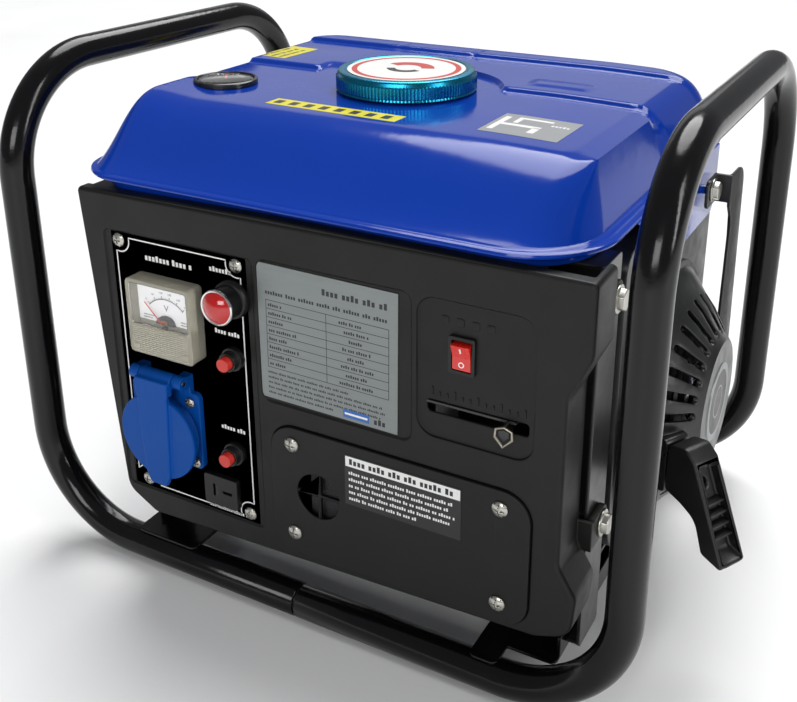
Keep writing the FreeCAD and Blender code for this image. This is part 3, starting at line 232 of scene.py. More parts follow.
def add_piece(name, verts, faces, finishes, body=ROOT, replaced=(), slot=None, sharp=35, marks=None):
    """Make a mesh piece from millimetre points; marks gives each face's place in finishes."""
    finishes = [finishes] if isinstance(finishes, str) else finishes
    mesh = bpy.data.meshes.new(name)
    mesh.from_pydata([Vector(v) * MM for v in verts], [], faces)
    for kind in finishes:
        mesh.materials.append(FINISHES[kind])
    if marks is not None:
        mesh.polygons.foreach_set("material_index", marks)
    cleaned(mesh)
    smooth(mesh, sharp)
    piece = new_object(name, mesh)
    if body is not None:
        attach(piece, body)
    if replaced:
        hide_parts(*replaced)
    if slot or finishes[0] in SLOTS:
        slot or finishes[0]
    return piece


class Build:
    """Gathers points, faces and face finishes for one piece."""

    def __init__(self):
        self.verts, self.faces, self.marks = [], [], []

    def add(self, verts, faces, mark=0):
        start = len(self.verts)
        self.verts += [tuple(v) for v in verts]
        self.faces += [tuple(start + i for i in face) for face in faces]
        self.marks += [mark] * len(faces)

    def piece(self, name, finishes, *where, **more):
        return add_piece(name, self.verts, self.faces, finishes, *where, marks=self.marks, **more)


def ring_faces(rings, around, start_cap=True, end_cap=True):
    faces = []
    for k in range(rings - 1):
        for j in range(around):
            n = (j + 1) % around
            faces.append((k * around + j, k * around + n,
                          (k + 1) * around + n, (k + 1) * around + j))
    if start_cap:
        faces.append(tuple(range(around))[::-1])
    if end_cap:
        faces.append(tuple((rings - 1) * around + j for j in range(around)))
    return faces


def circle(centre, radius, steps):
    """Points round a circle in a plane."""
    return [(centre[0] + radius * cos(TURN * k / steps),
             centre[1] + radius * sin(TURN * k / steps)) for k in range(steps)]


def turned_by(mid, turn, a, b):
    """The point (a, b), turned about the origin by degrees and then moved by mid."""
    angle = radians(turn)
    return (mid[0] + a * cos(angle) - b * sin(angle), mid[1] + a * sin(angle) + b * cos(angle))


def surface(mesh):
    """A search tree over a mesh, in millimetres."""
    return BVHTree.FromPolygons([v.co / MM for v in mesh.vertices],
                                [tuple(p.vertices) for p in mesh.polygons])


def turned_form(profile, centre, axis, steps, swell=None, capped=True):
    """Turn a profile of (radius, distance along the axis) round an axis through centre.

    swell(angle, k) gives an optional extra radius at profile point k.
    """
    verts = []
    for k, (radius, along) in enumerate(profile):
        for j in range(steps):
            angle = TURN * j / steps
            r = radius + (swell(angle, k) if swell else 0.0)
            a, b = r * cos(angle), r * sin(angle)
            offset = {"x": (along, a, b), "y": (a, along, b), "z": (a, b, along)}[axis]
            verts.append(tuple(c + o for c, o in zip(centre, offset)))
    return verts, ring_faces(len(profile), steps, capped, capped)


def turned_piece(name, profile, centre, axis, steps, kind, capped=True, **extra):
    verts, faces = turned_form(profile, centre, axis, steps, capped=capped)
    return add_piece(name, verts, faces, kind, **extra)


def band(form, centre, radii, steps, place, mark=0):
    """A flat ring between two radii; place puts its points in space."""
    points = [place(*point) for radius in radii for point in circle(centre, radius, steps)]
    form.add(points, ring_faces(2, steps, False, False), mark)


def fillet(before, corner, after, radius):
    """The start, the end and the centre of the arc that rounds a corner."""
    corner = Vector(corner)
    back = (Vector(before) - corner).normalized()
    on = (Vector(after) - corner).normalized()
    half = back.angle(on) / 2
    reach = radius / tan(half)
    centre = corner + (back + on).normalized() * (radius / sin(half))
    return corner + back * reach, corner + on * reach, centre


def rounded(points, radius, steps=5):
    """A flat outline with its corners rounded; radius is one number or one for each corner."""
    out = []
    for i, point in enumerate(points):
        r = radius if isinstance(radius, (int, float)) else radius[i]
        if r <= 0:
            out.append(tuple(Vector(point)))
            continue
        start, end, centre = fillet(points[i - 1], point, points[(i + 1) % len(points)], r)
        for k in range(steps + 1):
            blend = start.lerp(end, k / steps)
            out.append(tuple(centre + (blend - centre).normalized() * r))
    return out


def rectangle(x, z, radius=0.0, steps=5):
    points = [(x[0], z[0]), (x[1], z[0]), (x[1], z[1]), (x[0], z[1])]
    return rounded(points, radius, steps) if radius else points


def slab(outline, near, far, edge=0.0, axis="y"):
    """Extrude a flat outline along an axis from near to far, with a rounded edge at near."""
    count = len(outline)
    middle = Vector((sum(p[0] for p in outline) / count, sum(p[1] for p in outline) / count))
    inward = []
    for i, point in enumerate(outline):
        before, after = Vector(outline[i - 1]), Vector(outline[(i + 1) % count])
        tangent = (after - before).normalized()
        normal = Vector((-tangent.y, tangent.x))
        inward.append(normal if normal.dot(middle - Vector(point)) > 0 else -normal)
    sign = 1 if far > near else -1
    levels = [(0.0, near)]
    if edge:
        turns = [pi / 2 * k / EDGE_STEPS for k in range(EDGE_STEPS + 1)]
        levels = [(edge * (1 - sin(t)), near + sign * edge * (1 - cos(t))) for t in turns]
    levels.append((0.0, far))
    verts = []
    for inset, depth in levels:
        for point, normal in zip(outline, inward):
            a, b = point[0] + normal.x * inset, point[1] + normal.y * inset
            verts.append({"x": (depth, a, b), "y": (a, depth, b), "z": (a, b, depth)}[axis])
    return verts, ring_faces(len(levels), count)


def rounded_path(corners, radius, arc_steps):
    """Points along straight runs joined by arcs; the first and last corners are the ends."""
    points = [Vector(corners[0])]
    for before, corner, after in zip(corners, corners[1:], corners[2:]):
        start, end, centre = fillet(before, corner, after, radius)
        start, end = start - centre, end - centre
        sweep = start.angle(end)
        for k in range(arc_steps + 1):
            t = k / arc_steps
            points.append(centre + (start * sin((1 - t) * sweep) + end * sin(t * sweep)) / sin(sweep))
    points.append(Vector(corners[-1]))
    return points


def swept(stations, steps):
    """A tube through (point, radius) stations."""
    points = [station[0] for station in stations]
    verts = []
    side = None
    for i, (point, radius) in enumerate(stations):
        ahead = points[min(i + 1, len(points) - 1)] - points[max(i - 1, 0)]
        tangent = ahead.normalized() if ahead.length > 1e-6 else tangent
        if side is None:
            side = tangent.orthogonal().normalized()
        side = (side - tangent * side.dot(tangent)).normalized()
        other = tangent.cross(side)
        for j in range(steps):
            angle = TURN * j / steps
            verts.append(point + (side * cos(angle) + other * sin(angle)) * radius)
    return verts, ring_faces(len(stations), steps)


def softened(node, width, kind, segments=2, flat_degrees=1.0):
    """A copy of a CAD node whose hard edges are rounded by width; it replaces the node."""
    mesh = frame["nodes"][node].data.copy()
    form = bmesh.new()
    form.from_mesh(mesh)
    bmesh.ops.remove_doubles(form, verts=form.verts, dist=2e-6)
    bmesh.ops.dissolve_limit(form, angle_limit=radians(flat_degrees), verts=form.verts, edges=form.edges)
    edges = [edge for edge in form.edges if len(edge.link_faces) == 2
             and edge.calc_face_angle(0) > radians(HARD_EDGE_DEGREES)]
    if edges and width:
        bmesh.ops.bevel(form, geom=edges, offset=width * MM, offset_type="OFFSET", segments=segments,
                        profile=0.5, affect="EDGES", clamp_overlap=False, miter_outer="ARC")
    form.to_mesh(mesh)
    form.free()
    mesh.materials.clear()
    mesh.materials.append(FINISHES[kind])
    smooth(mesh, SHADE_DEGREES)
    for face in mesh.polygons:
        if face.loop_total > 4 and face.area > FLAT_FACE_AREA * MM * MM:
            face.use_smooth = False
    piece = new_object(node + "_shell", mesh)
    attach(piece, BODY_OF[node])
    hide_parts(node)
    return piece


def mix(a, b, t):
    return a + (b - a) * t


def ease(value, low, high):
    t = min(1.0, max(0.0, (value - low) / (high - low)))
    return t * t * (3 - 2 * t)


def bezier(values, t):
    a, b, c, d = values
    s = 1 - t
    return a * s ** 3 + 3 * b * s * s * t + 3 * c * s * t * t + d * t ** 3


# ---- tubular frame ----
TUBE_R = 10.0
BEND_R = 66.0
BEND_STEPS = 26
TUBE_STEPS = 48
LIP = 0.7


def build_frame_tubes():
    for node in ("frame_left_half", "frame_right_half"):
        box = Span(node)
        side = 1 if box.x > 0 else -1
        inner, outer = (box.x0, box.x1 - TUBE_R) if side > 0 else (box.x1, box.x0 + TUBE_R)
        front, back = box.y0 + TUBE_R, box.y1 - TUBE_R
        low, high = box.z0 + TUBE_R, box.z1 - TUBE_R
        corners = [(inner, front, low), (outer, front, low), (outer, front, high),
                   (outer, back, high), (outer, back, low), (inner, back, low)]
        path = rounded_path(corners, BEND_R, BEND_STEPS)
        lip = Vector((side * 0.6, 0, 0))
        stations = [(path[0], TUBE_R - LIP), (path[0] + lip, TUBE_R)]
        stations += [(point, TUBE_R) for point in path[1:-1]]
        stations += [(path[-1] + lip, TUBE_R), (path[-1], TUBE_R - LIP)]
        verts, faces = swept(stations, TUBE_STEPS)
        add_piece(node + "_tube", verts, faces, "frame_black", replaced=[node], sharp=50)


# ---- fuel tank ----
FILLER = (-3.0, -3.0)
DISH_R = 57.0
NECK_R = 29.0
# Each terrace: the y where it rises, and the spans of x that rise there first.
TERRACES = ((17.0, (-190.0, -84.0), (40.0, 190.0)), (92.0, (-190.0, -63.0), (-60.0, -8.0), (-2.0, 190.0)))
RISE = 2.5
RISER_RUN = 3.4
TOP_Z = 292.0
DOME_FOOT_Z = 259.0
DOME_STEPS = 44
SIDE_STEPS = 90
CORNER_STEPS = 16
GRID = 2.6


def tank_top(x, y):
    """Height of the pressed top: terraces that step up towards the back, and a round dish."""
    height = 0.0
    for start, *spans in TERRACES:
        inside = max(ease(x, a - 6, a) * (1 - ease(x, b, b + 6)) for a, b in spans)
        beyond = ease(y, start + 8, start + 22)
        height += RISE * ease(y, start, start + RISER_RUN) * max(inside, beyond)
    away = hypot(x - FILLER[0], y - FILLER[1])
    height *= ease(away, DISH_R, DISH_R + 2.5)
    end = 2.4 * (1 - ease(x, -146, -100)) * (1 - ease(y, -50, -28))
    emboss = ease(x, 62, 63.5) * (1 - ease(x, 98.5, 100)) * ease(y, 32, 33.5) * (1 - ease(y, 46.5, 48))
    return TOP_Z + height + 0.7 * emboss - 1.6 * ease(x, 80, 150) + end


def loop(x, y, radii):
    """A rounded rectangle with a fixed number of points, so loops can be joined; radii run
    front-left, front-right, back-right, back-left."""
    corners = [(x[0], y[0], 180), (x[1], y[0], 270), (x[1], y[1], 0), (x[0], y[1], 90)]
    arcs = []
    for (cx, cy, start), r in zip(corners, radii):
        mx = cx + r if cx == x[0] else cx - r
        my = cy + r if cy == y[0] else cy - r
        arcs.append([(mx + r * cos(radians(start + 90 * k / CORNER_STEPS)),
                      my + r * sin(radians(start + 90 * k / CORNER_STEPS)))
                     for k in range(CORNER_STEPS + 1)])
    points = []
    for arc, following in zip(arcs, arcs[1:] + arcs[:1]):
        points += arc
        a, b = arc[-1], following[0]
        points += [(mix(a[0], b[0], k / SIDE_STEPS), mix(a[1], b[1], k / SIDE_STEPS))
                   for k in range(1, SIDE_STEPS)]
    return points


def dome_loop(u):
    """One loop of the pressed dome, from its foot at u=0 to its shoulder at u=1."""
    rise = bezier((0.0, 0.273, 1.0, 1.0), u)
    front = bezier((0, 20, 40, 62), u)
    back = bezier((0, 1, 6, 24), u)
    left = bezier((0, 2, 4, 8), u)
    bulge = bezier((0, 0.5, 8, 24), u)
    facet = 11.5 * min(rise, 0.95) / 0.95 + 12.5 * max(0.0, (rise - 0.95) / 0.05)
    x, y = (-144 + left, 158.5 - bulge), (-142 + front, 133 - back)
    points = loop(x, y, (mix(30, 8, rise), mix(42, 9, rise), mix(38, 22, u), mix(38, 20, u)))
    shaped = []
    for px, py in points:
        lean = ease(px, 100, 134) * (1 - ease(py, 4, 20)) * ease(py, -138, -92)
        px = px - lean * (facet - bulge)
        shaped.append((px, py, DOME_FOOT_Z + (tank_top(px, py) - DOME_FOOT_Z) * rise))
    return shaped


def tank_loops():
    """Loops from the middle of the floor, out round the flange and up to the shoulder."""
    flange = ((-149, 167), (-146, 136), (36, 46, 42, 42))
    inner = ((-141, 157), (-137, 128), (32, 40, 36, 36))

    def at(form, by, z):
        (x0, x1), (y0, y1), radii = form
        outline = loop((x0 + by, x1 - by), (y0 + by, y1 - by), [max(2.0, r - by) for r in radii])
        return [(px, py, z) for px, py in outline]

    loops = [at(inner, 8, 247.0), at(inner, 2.2, 247.2), at(inner, 0.6, 248.2), at(inner, 0, 250.0)]
    loops += [at(inner, 0, 254.6), at(inner, -1.0, 255.5), at(flange, 1.0, 255.5)]
    for k in range(5):
        angle = pi * k / 4
        loops.append(at(flange, 1.4 - 1.4 * sin(angle), 256.95 - 1.45 * cos(angle)))
    first = dome_loop(0.0)
    ledge = loops[-1]
    for k, t in ((1, 0.5), (2, 0.85)):
        loops.append([(mix(a[0], b[0], t), mix(a[1], b[1], t), 258.4 + 0.15 * k)
                      for a, b in zip(ledge, first)])
    loops += [dome_loop(k / DOME_STEPS) for k in range(DOME_STEPS + 1)]
    return loops


def tank_cover_faces(edge_loop):
    """Fill the inside of the shoulder loop, with creases on the terraces and round the dish."""
    points = [Vector(p[:2]) for p in edge_loop]
    count = len(points)
    edges = [(i, (i + 1) % count) for i in range(count)]
    circles = ((DISH_R + 2.5, 150), (DISH_R + 1.2, 150), (DISH_R, 150), (NECK_R + 6.5, 120), (NECK_R, 120))
    for radius, steps in circles:
        start = len(points)
        points += [Vector(p) for p in circle(FILLER, radius, steps)]
        edges += [(start + k, start + (k + 1) % steps) for k in range(steps)]
    x0, x1 = min(p.x for p in points), max(p.x for p in points)
    y0, y1 = min(p.y for p in points), max(p.y for p in points)
    rows = [y0 + GRID * k for k in range(1, int((y1 - y0) / GRID))]
    for start, *_ in TERRACES:
        rows = [y for y in rows if not start - 1.5 < y < start + RISER_RUN + 1.5]
        rows += [start + RISER_RUN * k / 4 for k in range(5)]
    radii = [radius for radius, _ in circles]
    for y in sorted(rows):
        for k in range(int((x1 - x0) / GRID)):
            x = x0 + GRID * (k + 0.5)
            away = hypot(x - FILLER[0], y - FILLER[1])
            margin = min(min(abs(x - p[0]) + abs(y - p[1]) for p in edge_loop[::3]), 9.0)
            if away > NECK_R + 2 and all(abs(away - r) > 0.9 for r in radii) and margin > 2.4:
                points.append(Vector((x, y)))
    flat, _, faces, _, _, _ = delaunay_2d_cdt(points, edges, [], 1, 1e-4)
    kept = []
    for face in faces:
        middle = sum((flat[i] for i in face), Vector((0, 0))) / len(face)
        if hypot(middle.x - FILLER[0], middle.y - FILLER[1]) > NECK_R * 0.999:
            kept.append(tuple(face))
    return flat, kept


def build_tank():
    """The pressed tank: floor, lower pan, rolled flange and dome, as one skin."""
    form = Build()
    loops = tank_loops()
    form.add([p for one in loops for p in one], ring_faces(len(loops), len(loops[0]), end_cap=False))
    flat, faces = tank_cover_faces(loops[-1])
    form.add([(p.x, p.y, tank_top(p.x, p.y)) for p in flat], faces)
    top = tank_top(*FILLER)
    neck = [(NECK_R + r, top + z) for r, z in ((6.5, 0), (4.5, 0.4), (3.2, 1.6), (3.0, 3.4), (2.4, 4.0),
                                               (0.6, 4.0), (0, 3.4), (0, -20))]
    form.add(*turned_form(neck, (*FILLER, 0), "z", 96, capped=False))
    box = Span("fuel_tank")
    right_ear = rounded([(-75, 257), (-62, 251), (15, 214), (84, 214), (92, 222), (92, 257)],
                        [0, 6, 12, 6, 8, 0])
    form.add(*slab(right_ear, 168.1, 165.6, 0.5, "x"))
    left_ear = rounded([(56, 257), (56, 222), (90, 222), (90, 257)], [0, 5, 5, 0])
    form.add(*slab(left_ear, box.x0, box.x0 + 2.5, 0.5, "x"))
    tank = form.piece("fuel_tank_skin", "tank_blue", replaced=["fuel_tank"], sharp=38)
    cleaned(tank.data, weld=0.02 * MM)
    smooth(tank.data, 38)
    return tank


# ---- printed labels ----
# Shares of the height of a line of print.
LETTER_WIDTH = 0.5
LETTER_PITCH = 0.72
SMALL_LETTER = 0.76
WORD_GAP = 0.6


def words(a, b, z, height, seed, gap):
    """Letter-sized blocks, in groups, that stand for a line of small print between a and b."""
    letters = []
    at = a
    step = seed
    while at < b - LETTER_WIDTH * height:
        step = (step * 37 + 11) % 101
        for k in range(2 + step % 6):
            if at + LETTER_WIDTH * height > b:
                break
            tall = height * (1.0 if (step + 3 * k) % 4 == 0 else SMALL_LETTER)
            letters.append((at, at + LETTER_WIDTH * height, z, z + tall))
            at += LETTER_PITCH * height
        at += WORD_GAP * gap * height
    return letters


def printed(name, base, prints, to_point, finishes, cell, lift=0.12, thick=0.25):
    """A thin label: its base outline box and the boxes printed on it.

    base is (a0, a1, b0, b1); prints carry a finish number as a fifth value. cell is the grid size.
    """
    form = Build()

    def sheet(box, height, mark, rim):
        a0, a1, b0, b1 = box
        across = max(1, int((a1 - a0) / cell))
        up = max(1, int((b1 - b0) / cell))
        row = across + 1

        def point(k, level):
            return to_point(mix(a0, a1, k % row / across), mix(b0, b1, k // row / up), level)

        verts = [point(k, height) for k in range(row * (up + 1))]
        faces = [(j * row + i, j * row + i + 1, (j + 1) * row + i + 1, (j + 1) * row + i)
                 for j in range(up) for i in range(across)]
        if rim:
            edge = list(range(row))
            edge += [j * row + across for j in range(1, up + 1)]
            edge += [up * row + i for i in range(across - 1, -1, -1)]
            edge += [j * row for j in range(up - 1, 0, -1)]
            start, count = len(verts), len(edge)
            verts += [point(k, 0.0) for k in edge]
            faces += [(edge[k], edge[(k + 1) % count], start + (k + 1) % count, start + k)
                      for k in range(count)]
        form.add(verts, faces, mark)

    sheet(base, thick, 0, True)
    for *box, mark in prints:
        sheet(box, thick + lift * mark / len(finishes), mark, False)
    return form.piece(name, finishes, sharp=30)


def inked(mark, *line):
    """The blocks of one line of words, each with its finish number."""
    return [block + (mark,) for block in words(*line)]


def print_block(form, block, y, mark):
    """One flat printed rectangle on a face that looks along -Y."""
    a0, a1, b0, b1 = block
    form.add([(a0, y, b0), (a1, y, b0), (a1, y, b1), (a0, y, b1)], [(0, 1, 2, 3)], mark)


# ---- filler cap and gauge ----
def build_cap():
    box = Span("fuel_cap")
    low, high = box.z0, box.z1
    ribs = 120

    def knurl(angle, k):
        return 0.3 * abs(sin(ribs * angle / 2)) if 5 <= k <= 7 else 0.0

    profile = [(r, low + z) for r, z in ((0.05, 6.1), (34, 6.1), (34, 0), (42.8, 0), (43, 0.5), (42.4, 1.6),
                                         (42.7, 2.0), (42.7, 8.4), (42.4, 9.0), (42.2, 9.8))]
    profile += [(r, high - z) for r, z in ((41.9, 1.2), (41.2, 0.4), (40.2, 0), (37.8, 0), (36.9, 0.5),
                                           (0.05, 0.5))]
    verts, faces = turned_form(profile, (box.x, box.y, 0), "z", ribs * 6, knurl)
    add_piece("fuel_cap_turned", verts, faces, "cap_teal", BODY_OF["fuel_cap"], ["fuel_cap"], sharp=24)

    badge = Build()
    for inner, outer, mark in ((0.05, 30.0, 0), (30.0, 33.4, 2), (33.4, 36.0, 0)):
        band(badge, (box.x, box.y), (inner, outer), 96, lambda a, b: (a, b, high - 0.2), mark)
    for inner, outer, start, mark in ((9, 17, 20, 2), (7, 12, 205, 1)):
        arc = [(box.x + r * cos(radians(start + 5 * k)),
                box.y + r * sin(radians(start + 5 * k)), high - 0.12)
               for r in (inner, outer) for k in range(28)]
        badge.add(arc, [(k, k + 1, 29 + k, 28 + k) for k in range(27)], mark)
    badge.piece("fuel_cap_badge", ["print_white", "print_black", "print_red"], BODY_OF["fuel_cap"])


def build_gauge():
    box = Span("fuel_gauge")
    centre = (box.x, box.y, 0)
    top = box.z1
    ring = [(r, top - z) for r, z in ((17.6, 2.4), (17.7, 0.9), (18.2, 0.5), (19.2, 0.6), (19.8, 1.1),
                                      (20, 2.0), (20, 3.6))]
    turned_piece("fuel_gauge_ring", ring, centre, "z", 96, "gauge_black", capped=False)
    body = [(0.05, 251), (9, 251), (9, 256), (1.5, 256), (1.5, 286), (17.55, 286), (17.55, top - 2.4),
            (0.05, top - 2.4)]
    turned_piece("fuel_gauge_body", body, centre, "z", 72, "gauge_black", replaced=["fuel_gauge"])
    dome = [(0.05, top - 1.9), (17.5, top - 1.9)]
    dome += [(17.5 * cos(radians(a)), top - 1.6 + 1.5 * sin(radians(a))) for a in range(0, 90, 10)]
    dome += [(0.05, top - 0.1)]
    turned_piece("fuel_gauge_window", dome, centre, "z", 72, "clear_window").visible_shadow = False
    gauge_dial((box.x, box.y), top)


def gauge_dial(centre, top):
    """The ticks and the pointer under the gauge's window."""
    base = Vector(centre)
    form = Build()
    for k in range(9):
        angle = radians(30 + 15 * k)
        out = Vector((cos(angle), sin(angle)))
        side = Vector((-out.y, out.x)) * 0.35
        near, far = out * 10.5, out * (13.5 if k % 4 == 0 else 12.2)
        quad = [base + near + side, base + near - side, base + far - side, base + far + side]
        form.add([(q.x, q.y, top - 2.3) for q in quad], [(0, 1, 2, 3)], 0)
    pointer = [(-0.6, -2), (0.6, -2), (0.25, 11), (-0.25, 11)]
    form.add([(*turned_by(centre, 35, a, b), top - 2.2) for a, b in pointer], [(0, 1, 2, 3)], 1)
    form.piece("fuel_gauge_dial", ["print_white", "needle_red"])


# ---- front panel ----
PRINT_GAP = 0.12
WINDOW_RISE = 18.55
PIVOT_RISE = 17
DIAL_DEPTH = 7.9
SCALE_R = 16.6
SCALE_SWING = 45


def strip_along(form, points, width, y, mark, closed=True):
    """A flat line of print on a face that looks along -Y."""
    count = len(points)
    verts = []
    for i, point in enumerate(points):
        before = Vector(points[i - 1] if closed or i else points[i])
        after = Vector(points[(i + 1) % count] if closed or i < count - 1 else points[i])
        tangent = (after - before).normalized()
        normal = Vector((-tangent.y, tangent.x)) * width / 2
        verts += [(point[0] + normal.x, y, point[1] + normal.y),
                  (point[0] - normal.x, y, point[1] - normal.y)]
    last = count if closed else count - 1
    faces = [(2 * i, 2 * i + 1, (2 * i + 3) % (2 * count), (2 * i + 2) % (2 * count)) for i in range(last)]
    form.add(verts, faces, mark)


def border_corner(screw, edge_x, edge_z, radius):
    """Arc of the border line that passes inside a corner screw."""
    dx = copysign(sqrt(radius ** 2 - (edge_z - screw[1]) ** 2), -(edge_x - screw[0]))
    dz = copysign(sqrt(radius ** 2 - (edge_x - screw[0]) ** 2), -(edge_z - screw[1]))
    first = atan2(dz, edge_x - screw[0])
    last = atan2(edge_z - screw[1], dx)
    swing = (last - first + pi) % TURN - pi
    inner = atan2(-(edge_z - screw[1]), -(edge_x - screw[0]))
    through = (inner - first + pi) % TURN - pi
    if swing * through < 0:
        swing -= copysign(TURN, swing)
    steps = 12
    return [(screw[0] + radius * cos(first + swing * k / steps),
             screw[1] + radius * sin(first + swing * k / steps)) for k in range(steps + 1)]


def build_panel_print():
    box = Span("control_panel")
    y = box.y0 - PRINT_GAP
    form = Build()
    x0, x1, z0, z1 = box.x0 + 3, box.x1 - 3, box.z0 + 3, box.z1 - 3
    lower_left = border_corner((box.x0 + 11, box.z0 + 6), x0, z0, 9.0)
    upper_left = border_corner((box.x0 + 5.5, box.z1 - 5), x0, z1, 7.2)
    upper_right = border_corner((box.x1 - 5.5, box.z1 - 5), x1, z1, 7.2)
    lower_right = border_corner((box.x1 - 5.5, box.z0 + 6), x1, z0, 7.2)
    strip_along(form, lower_left[::-1] + upper_left + upper_right[::-1] + lower_right, 0.8, y, 0)
    legends = ((-94, -60, 212.0, 3.6, 5), (-48, -30.5, 214.6, 3.0, 9), (-47, -29.5, 177.6, 2.8, 7),
               (-47, -29.5, 116.6, 2.8, 3), (-60, -32, 59.8, 2.2, 6))
    for legend in legends:
        for block in words(*legend, 0.7):
            print_block(form, block, y, 0)
    form.piece("panel_print", ["print_white"])


def text_mesh(form, text, x, y, z, size, mark):
    """Dial lettering as flat faces that look along -Y."""
    curve = bpy.data.curves.new("letters", "FONT")
    curve.body = text
    curve.size = size
    curve.align_x = "CENTER"
    curve.align_y = "CENTER"
    curve.resolution_u = 2
    letters = new_object("letters", curve)
    bpy.context.view_layer.update()
    mesh = bpy.data.meshes.new_from_object(letters)
    form.add([(x + v.co.x, y, z + v.co.y) for v in mesh.vertices],
             [tuple(p.vertices) for p in mesh.polygons], mark)
    bpy.data.objects.remove(letters)
    bpy.data.meshes.remove(mesh)
    bpy.data.curves.remove(curve)


def build_voltmeter():
    box = Span("voltmeter_case")
    window = Span("voltmeter_lens")
    needle = Span("voltmeter_needle")
    face = box.y0
    low = window.z0 - WINDOW_RISE
    pivot = (box.x, low + PIVOT_RISE)
    softened("voltmeter_case", 0.5, "meter_cream", segments=3)
    softened("voltmeter_lens", 0.2, "clear_window").visible_shadow = False
    build_needle(pivot, (needle.x0 + 0.6, needle.z1 - 0.6), face + 5.2)
    back = face + DIAL_DEPTH
    voltmeter_dial(window, pivot, back)
    voltmeter_movement(window, pivot, back)

    ribs = Build()
    for k in range(13):
        z = low + 1.4 + 1.25 * k
        rib = rectangle((window.x0 + 0.4, window.x1 - 0.4), (z, z + 0.7), 0.2, 3)
        ribs.add(*slab(rib, face - 0.22, face + 0.3, 0.12))
    ribs.piece("voltmeter_ribs", "meter_clear", slot="meter_cream")
    screws = Build()
    profile = [(0.05, face - 0.45), (1.7, face - 0.45), (2.2, face - 0.2), (2.2, face + 0.6)]
    for x in (box.x0 + 5.2, box.x1 - 5.2):
        screws.add(*turned_form(profile, (x, 0, low + 4.5), "y", 28))
    screws.piece("voltmeter_screws", "lever_zinc")


def voltmeter_dial(window, pivot, back):
    """The white dial behind the window, with its scale, numbers and unit letter."""
    dial = Build()
    print_block(dial, (window.x0, window.x1, window.z0, window.z1), back, 0)
    front = back - PRINT_GAP

    def ray(turn, radius):
        angle = radians(turn)
        return pivot[0] + radius * sin(angle), pivot[1] + radius * cos(angle)

    strip_along(dial, [ray(-47 + 94 * k / 30, SCALE_R) for k in range(31)], 0.45, front, 1, False)
    for k in range(31):
        turn = 3 * k - SCALE_SWING
        reach, width = (18.6, 0.4) if k % 6 == 0 else (17.6, 0.2)
        strip_along(dial, [ray(turn, SCALE_R), ray(turn, reach)], width, front, 1, False)
    for k in range(6):
        x, z = ray(18 * k - SCALE_SWING, 20.4)
        text_mesh(dial, str(60 * k), x, front, z, 1.9, 1)
    text_mesh(dial, "V", pivot[0], front, pivot[1] + 11, 5.6, 1)
    for start, end, height in ((-17, -9, 4.4), (-17, -10, 2.8), (10, 17, 4.4), (10, 16, 2.8)):
        for block in words(pivot[0] + start, pivot[0] + end, pivot[1] + height, 0.8, 4, 0.6):
            print_block(dial, block, front, 1)
    dial.piece("voltmeter_dial", ["dial_white", "print_black"])


def voltmeter_movement(window, pivot, back):
    """The dark half disc and the copper coil at the foot of the dial."""
    hub = Build()
    half_circle = [(pivot[0] + 6.4 * cos(pi * k / 24),
                    window.z0 + 0.1 + 5.2 * sin(pi * k / 24)) for k in range(25)]
    hub.add(*slab(half_circle, back - 2.6, back - 0.3, 0.3), 0)
    coil = rectangle((pivot[0] - 2.2, pivot[0] + 2.4), (window.z0 + 0.3, window.z0 + 3.2), 0.8, 4)
    hub.add(*slab(coil, back - 3.2, back - 2.5, 0.3), 1)
    hub.piece("voltmeter_movement", ["print_black", "copper_winding"])


def build_needle(pivot, tip, y):
    """A thin red pointer from the pivot to its tip, on a small dark boss."""
    start, end = Vector(pivot), Vector(tip)
    side = (end - start).orthogonal().normalized()
    outline = [start + side * 0.4, start - side * 0.4, end - side * 0.18, end + side * 0.18]
    form = Build()
    form.add(*slab([tuple(p) for p in outline], y, y + 0.4, 0.05), 0)
    boss = [(0.05, y - 0.5), (1.3, y - 0.5), (1.6, y - 0.2), (1.6, y + 1.2), (0.05, y + 1.2)]
    form.add(*turned_form(boss, (start.x, 0, start.y), "y", 24), 1)
    form.piece("voltmeter_pointer", ["needle_red", "print_black"], BODY_OF["voltmeter_needle"],
               ["voltmeter_needle"])


def build_lamp():
    box = Span("indicator_lamp")
    face = Span("control_panel").y0
    centre = (box.x, 0, box.z)
    collar = [(r, face - out) for r, out in ((0.05, -18), (6.0, -18), (6.0, 0), (11.2, 0), (11.2, 2.8),
                                             (10.6, 3.8), (9.6, 4.2), (9.6, 13.2), (0.05, 13.2))]
    turned_piece("lamp_collar", collar, centre, "y", 64, "switch_black", replaced=["indicator_lamp"])
    ring = [(r, face - out) for r, out in ((9.2, 13.2), (10.1, 13.0), (10.4, 13.6), (10.4, 14.6), (9.9, 15.2),
                                           (9.2, 15.0))]
    turned_piece("lamp_ring", ring, centre, "y", 72, "chrome", capped=False)
    lens_r, dome_r = 9.1, 12.6
    half = degrees(asin(lens_r / dome_r))
    rest = face - 15 + dome_r * cos(radians(half))
    turns = [radians(half * k / 10) for k in range(10, 0, -1)]
    dome = [(0.05, face - 13.3), (lens_r, face - 13.3)]
    dome += [(dome_r * sin(turn), rest - dome_r * cos(turn)) for turn in turns]
    dome += [(0.05, rest - dome_r)]
    turned_piece("lamp_lens", dome, centre, "y", 72, "lamp_red")


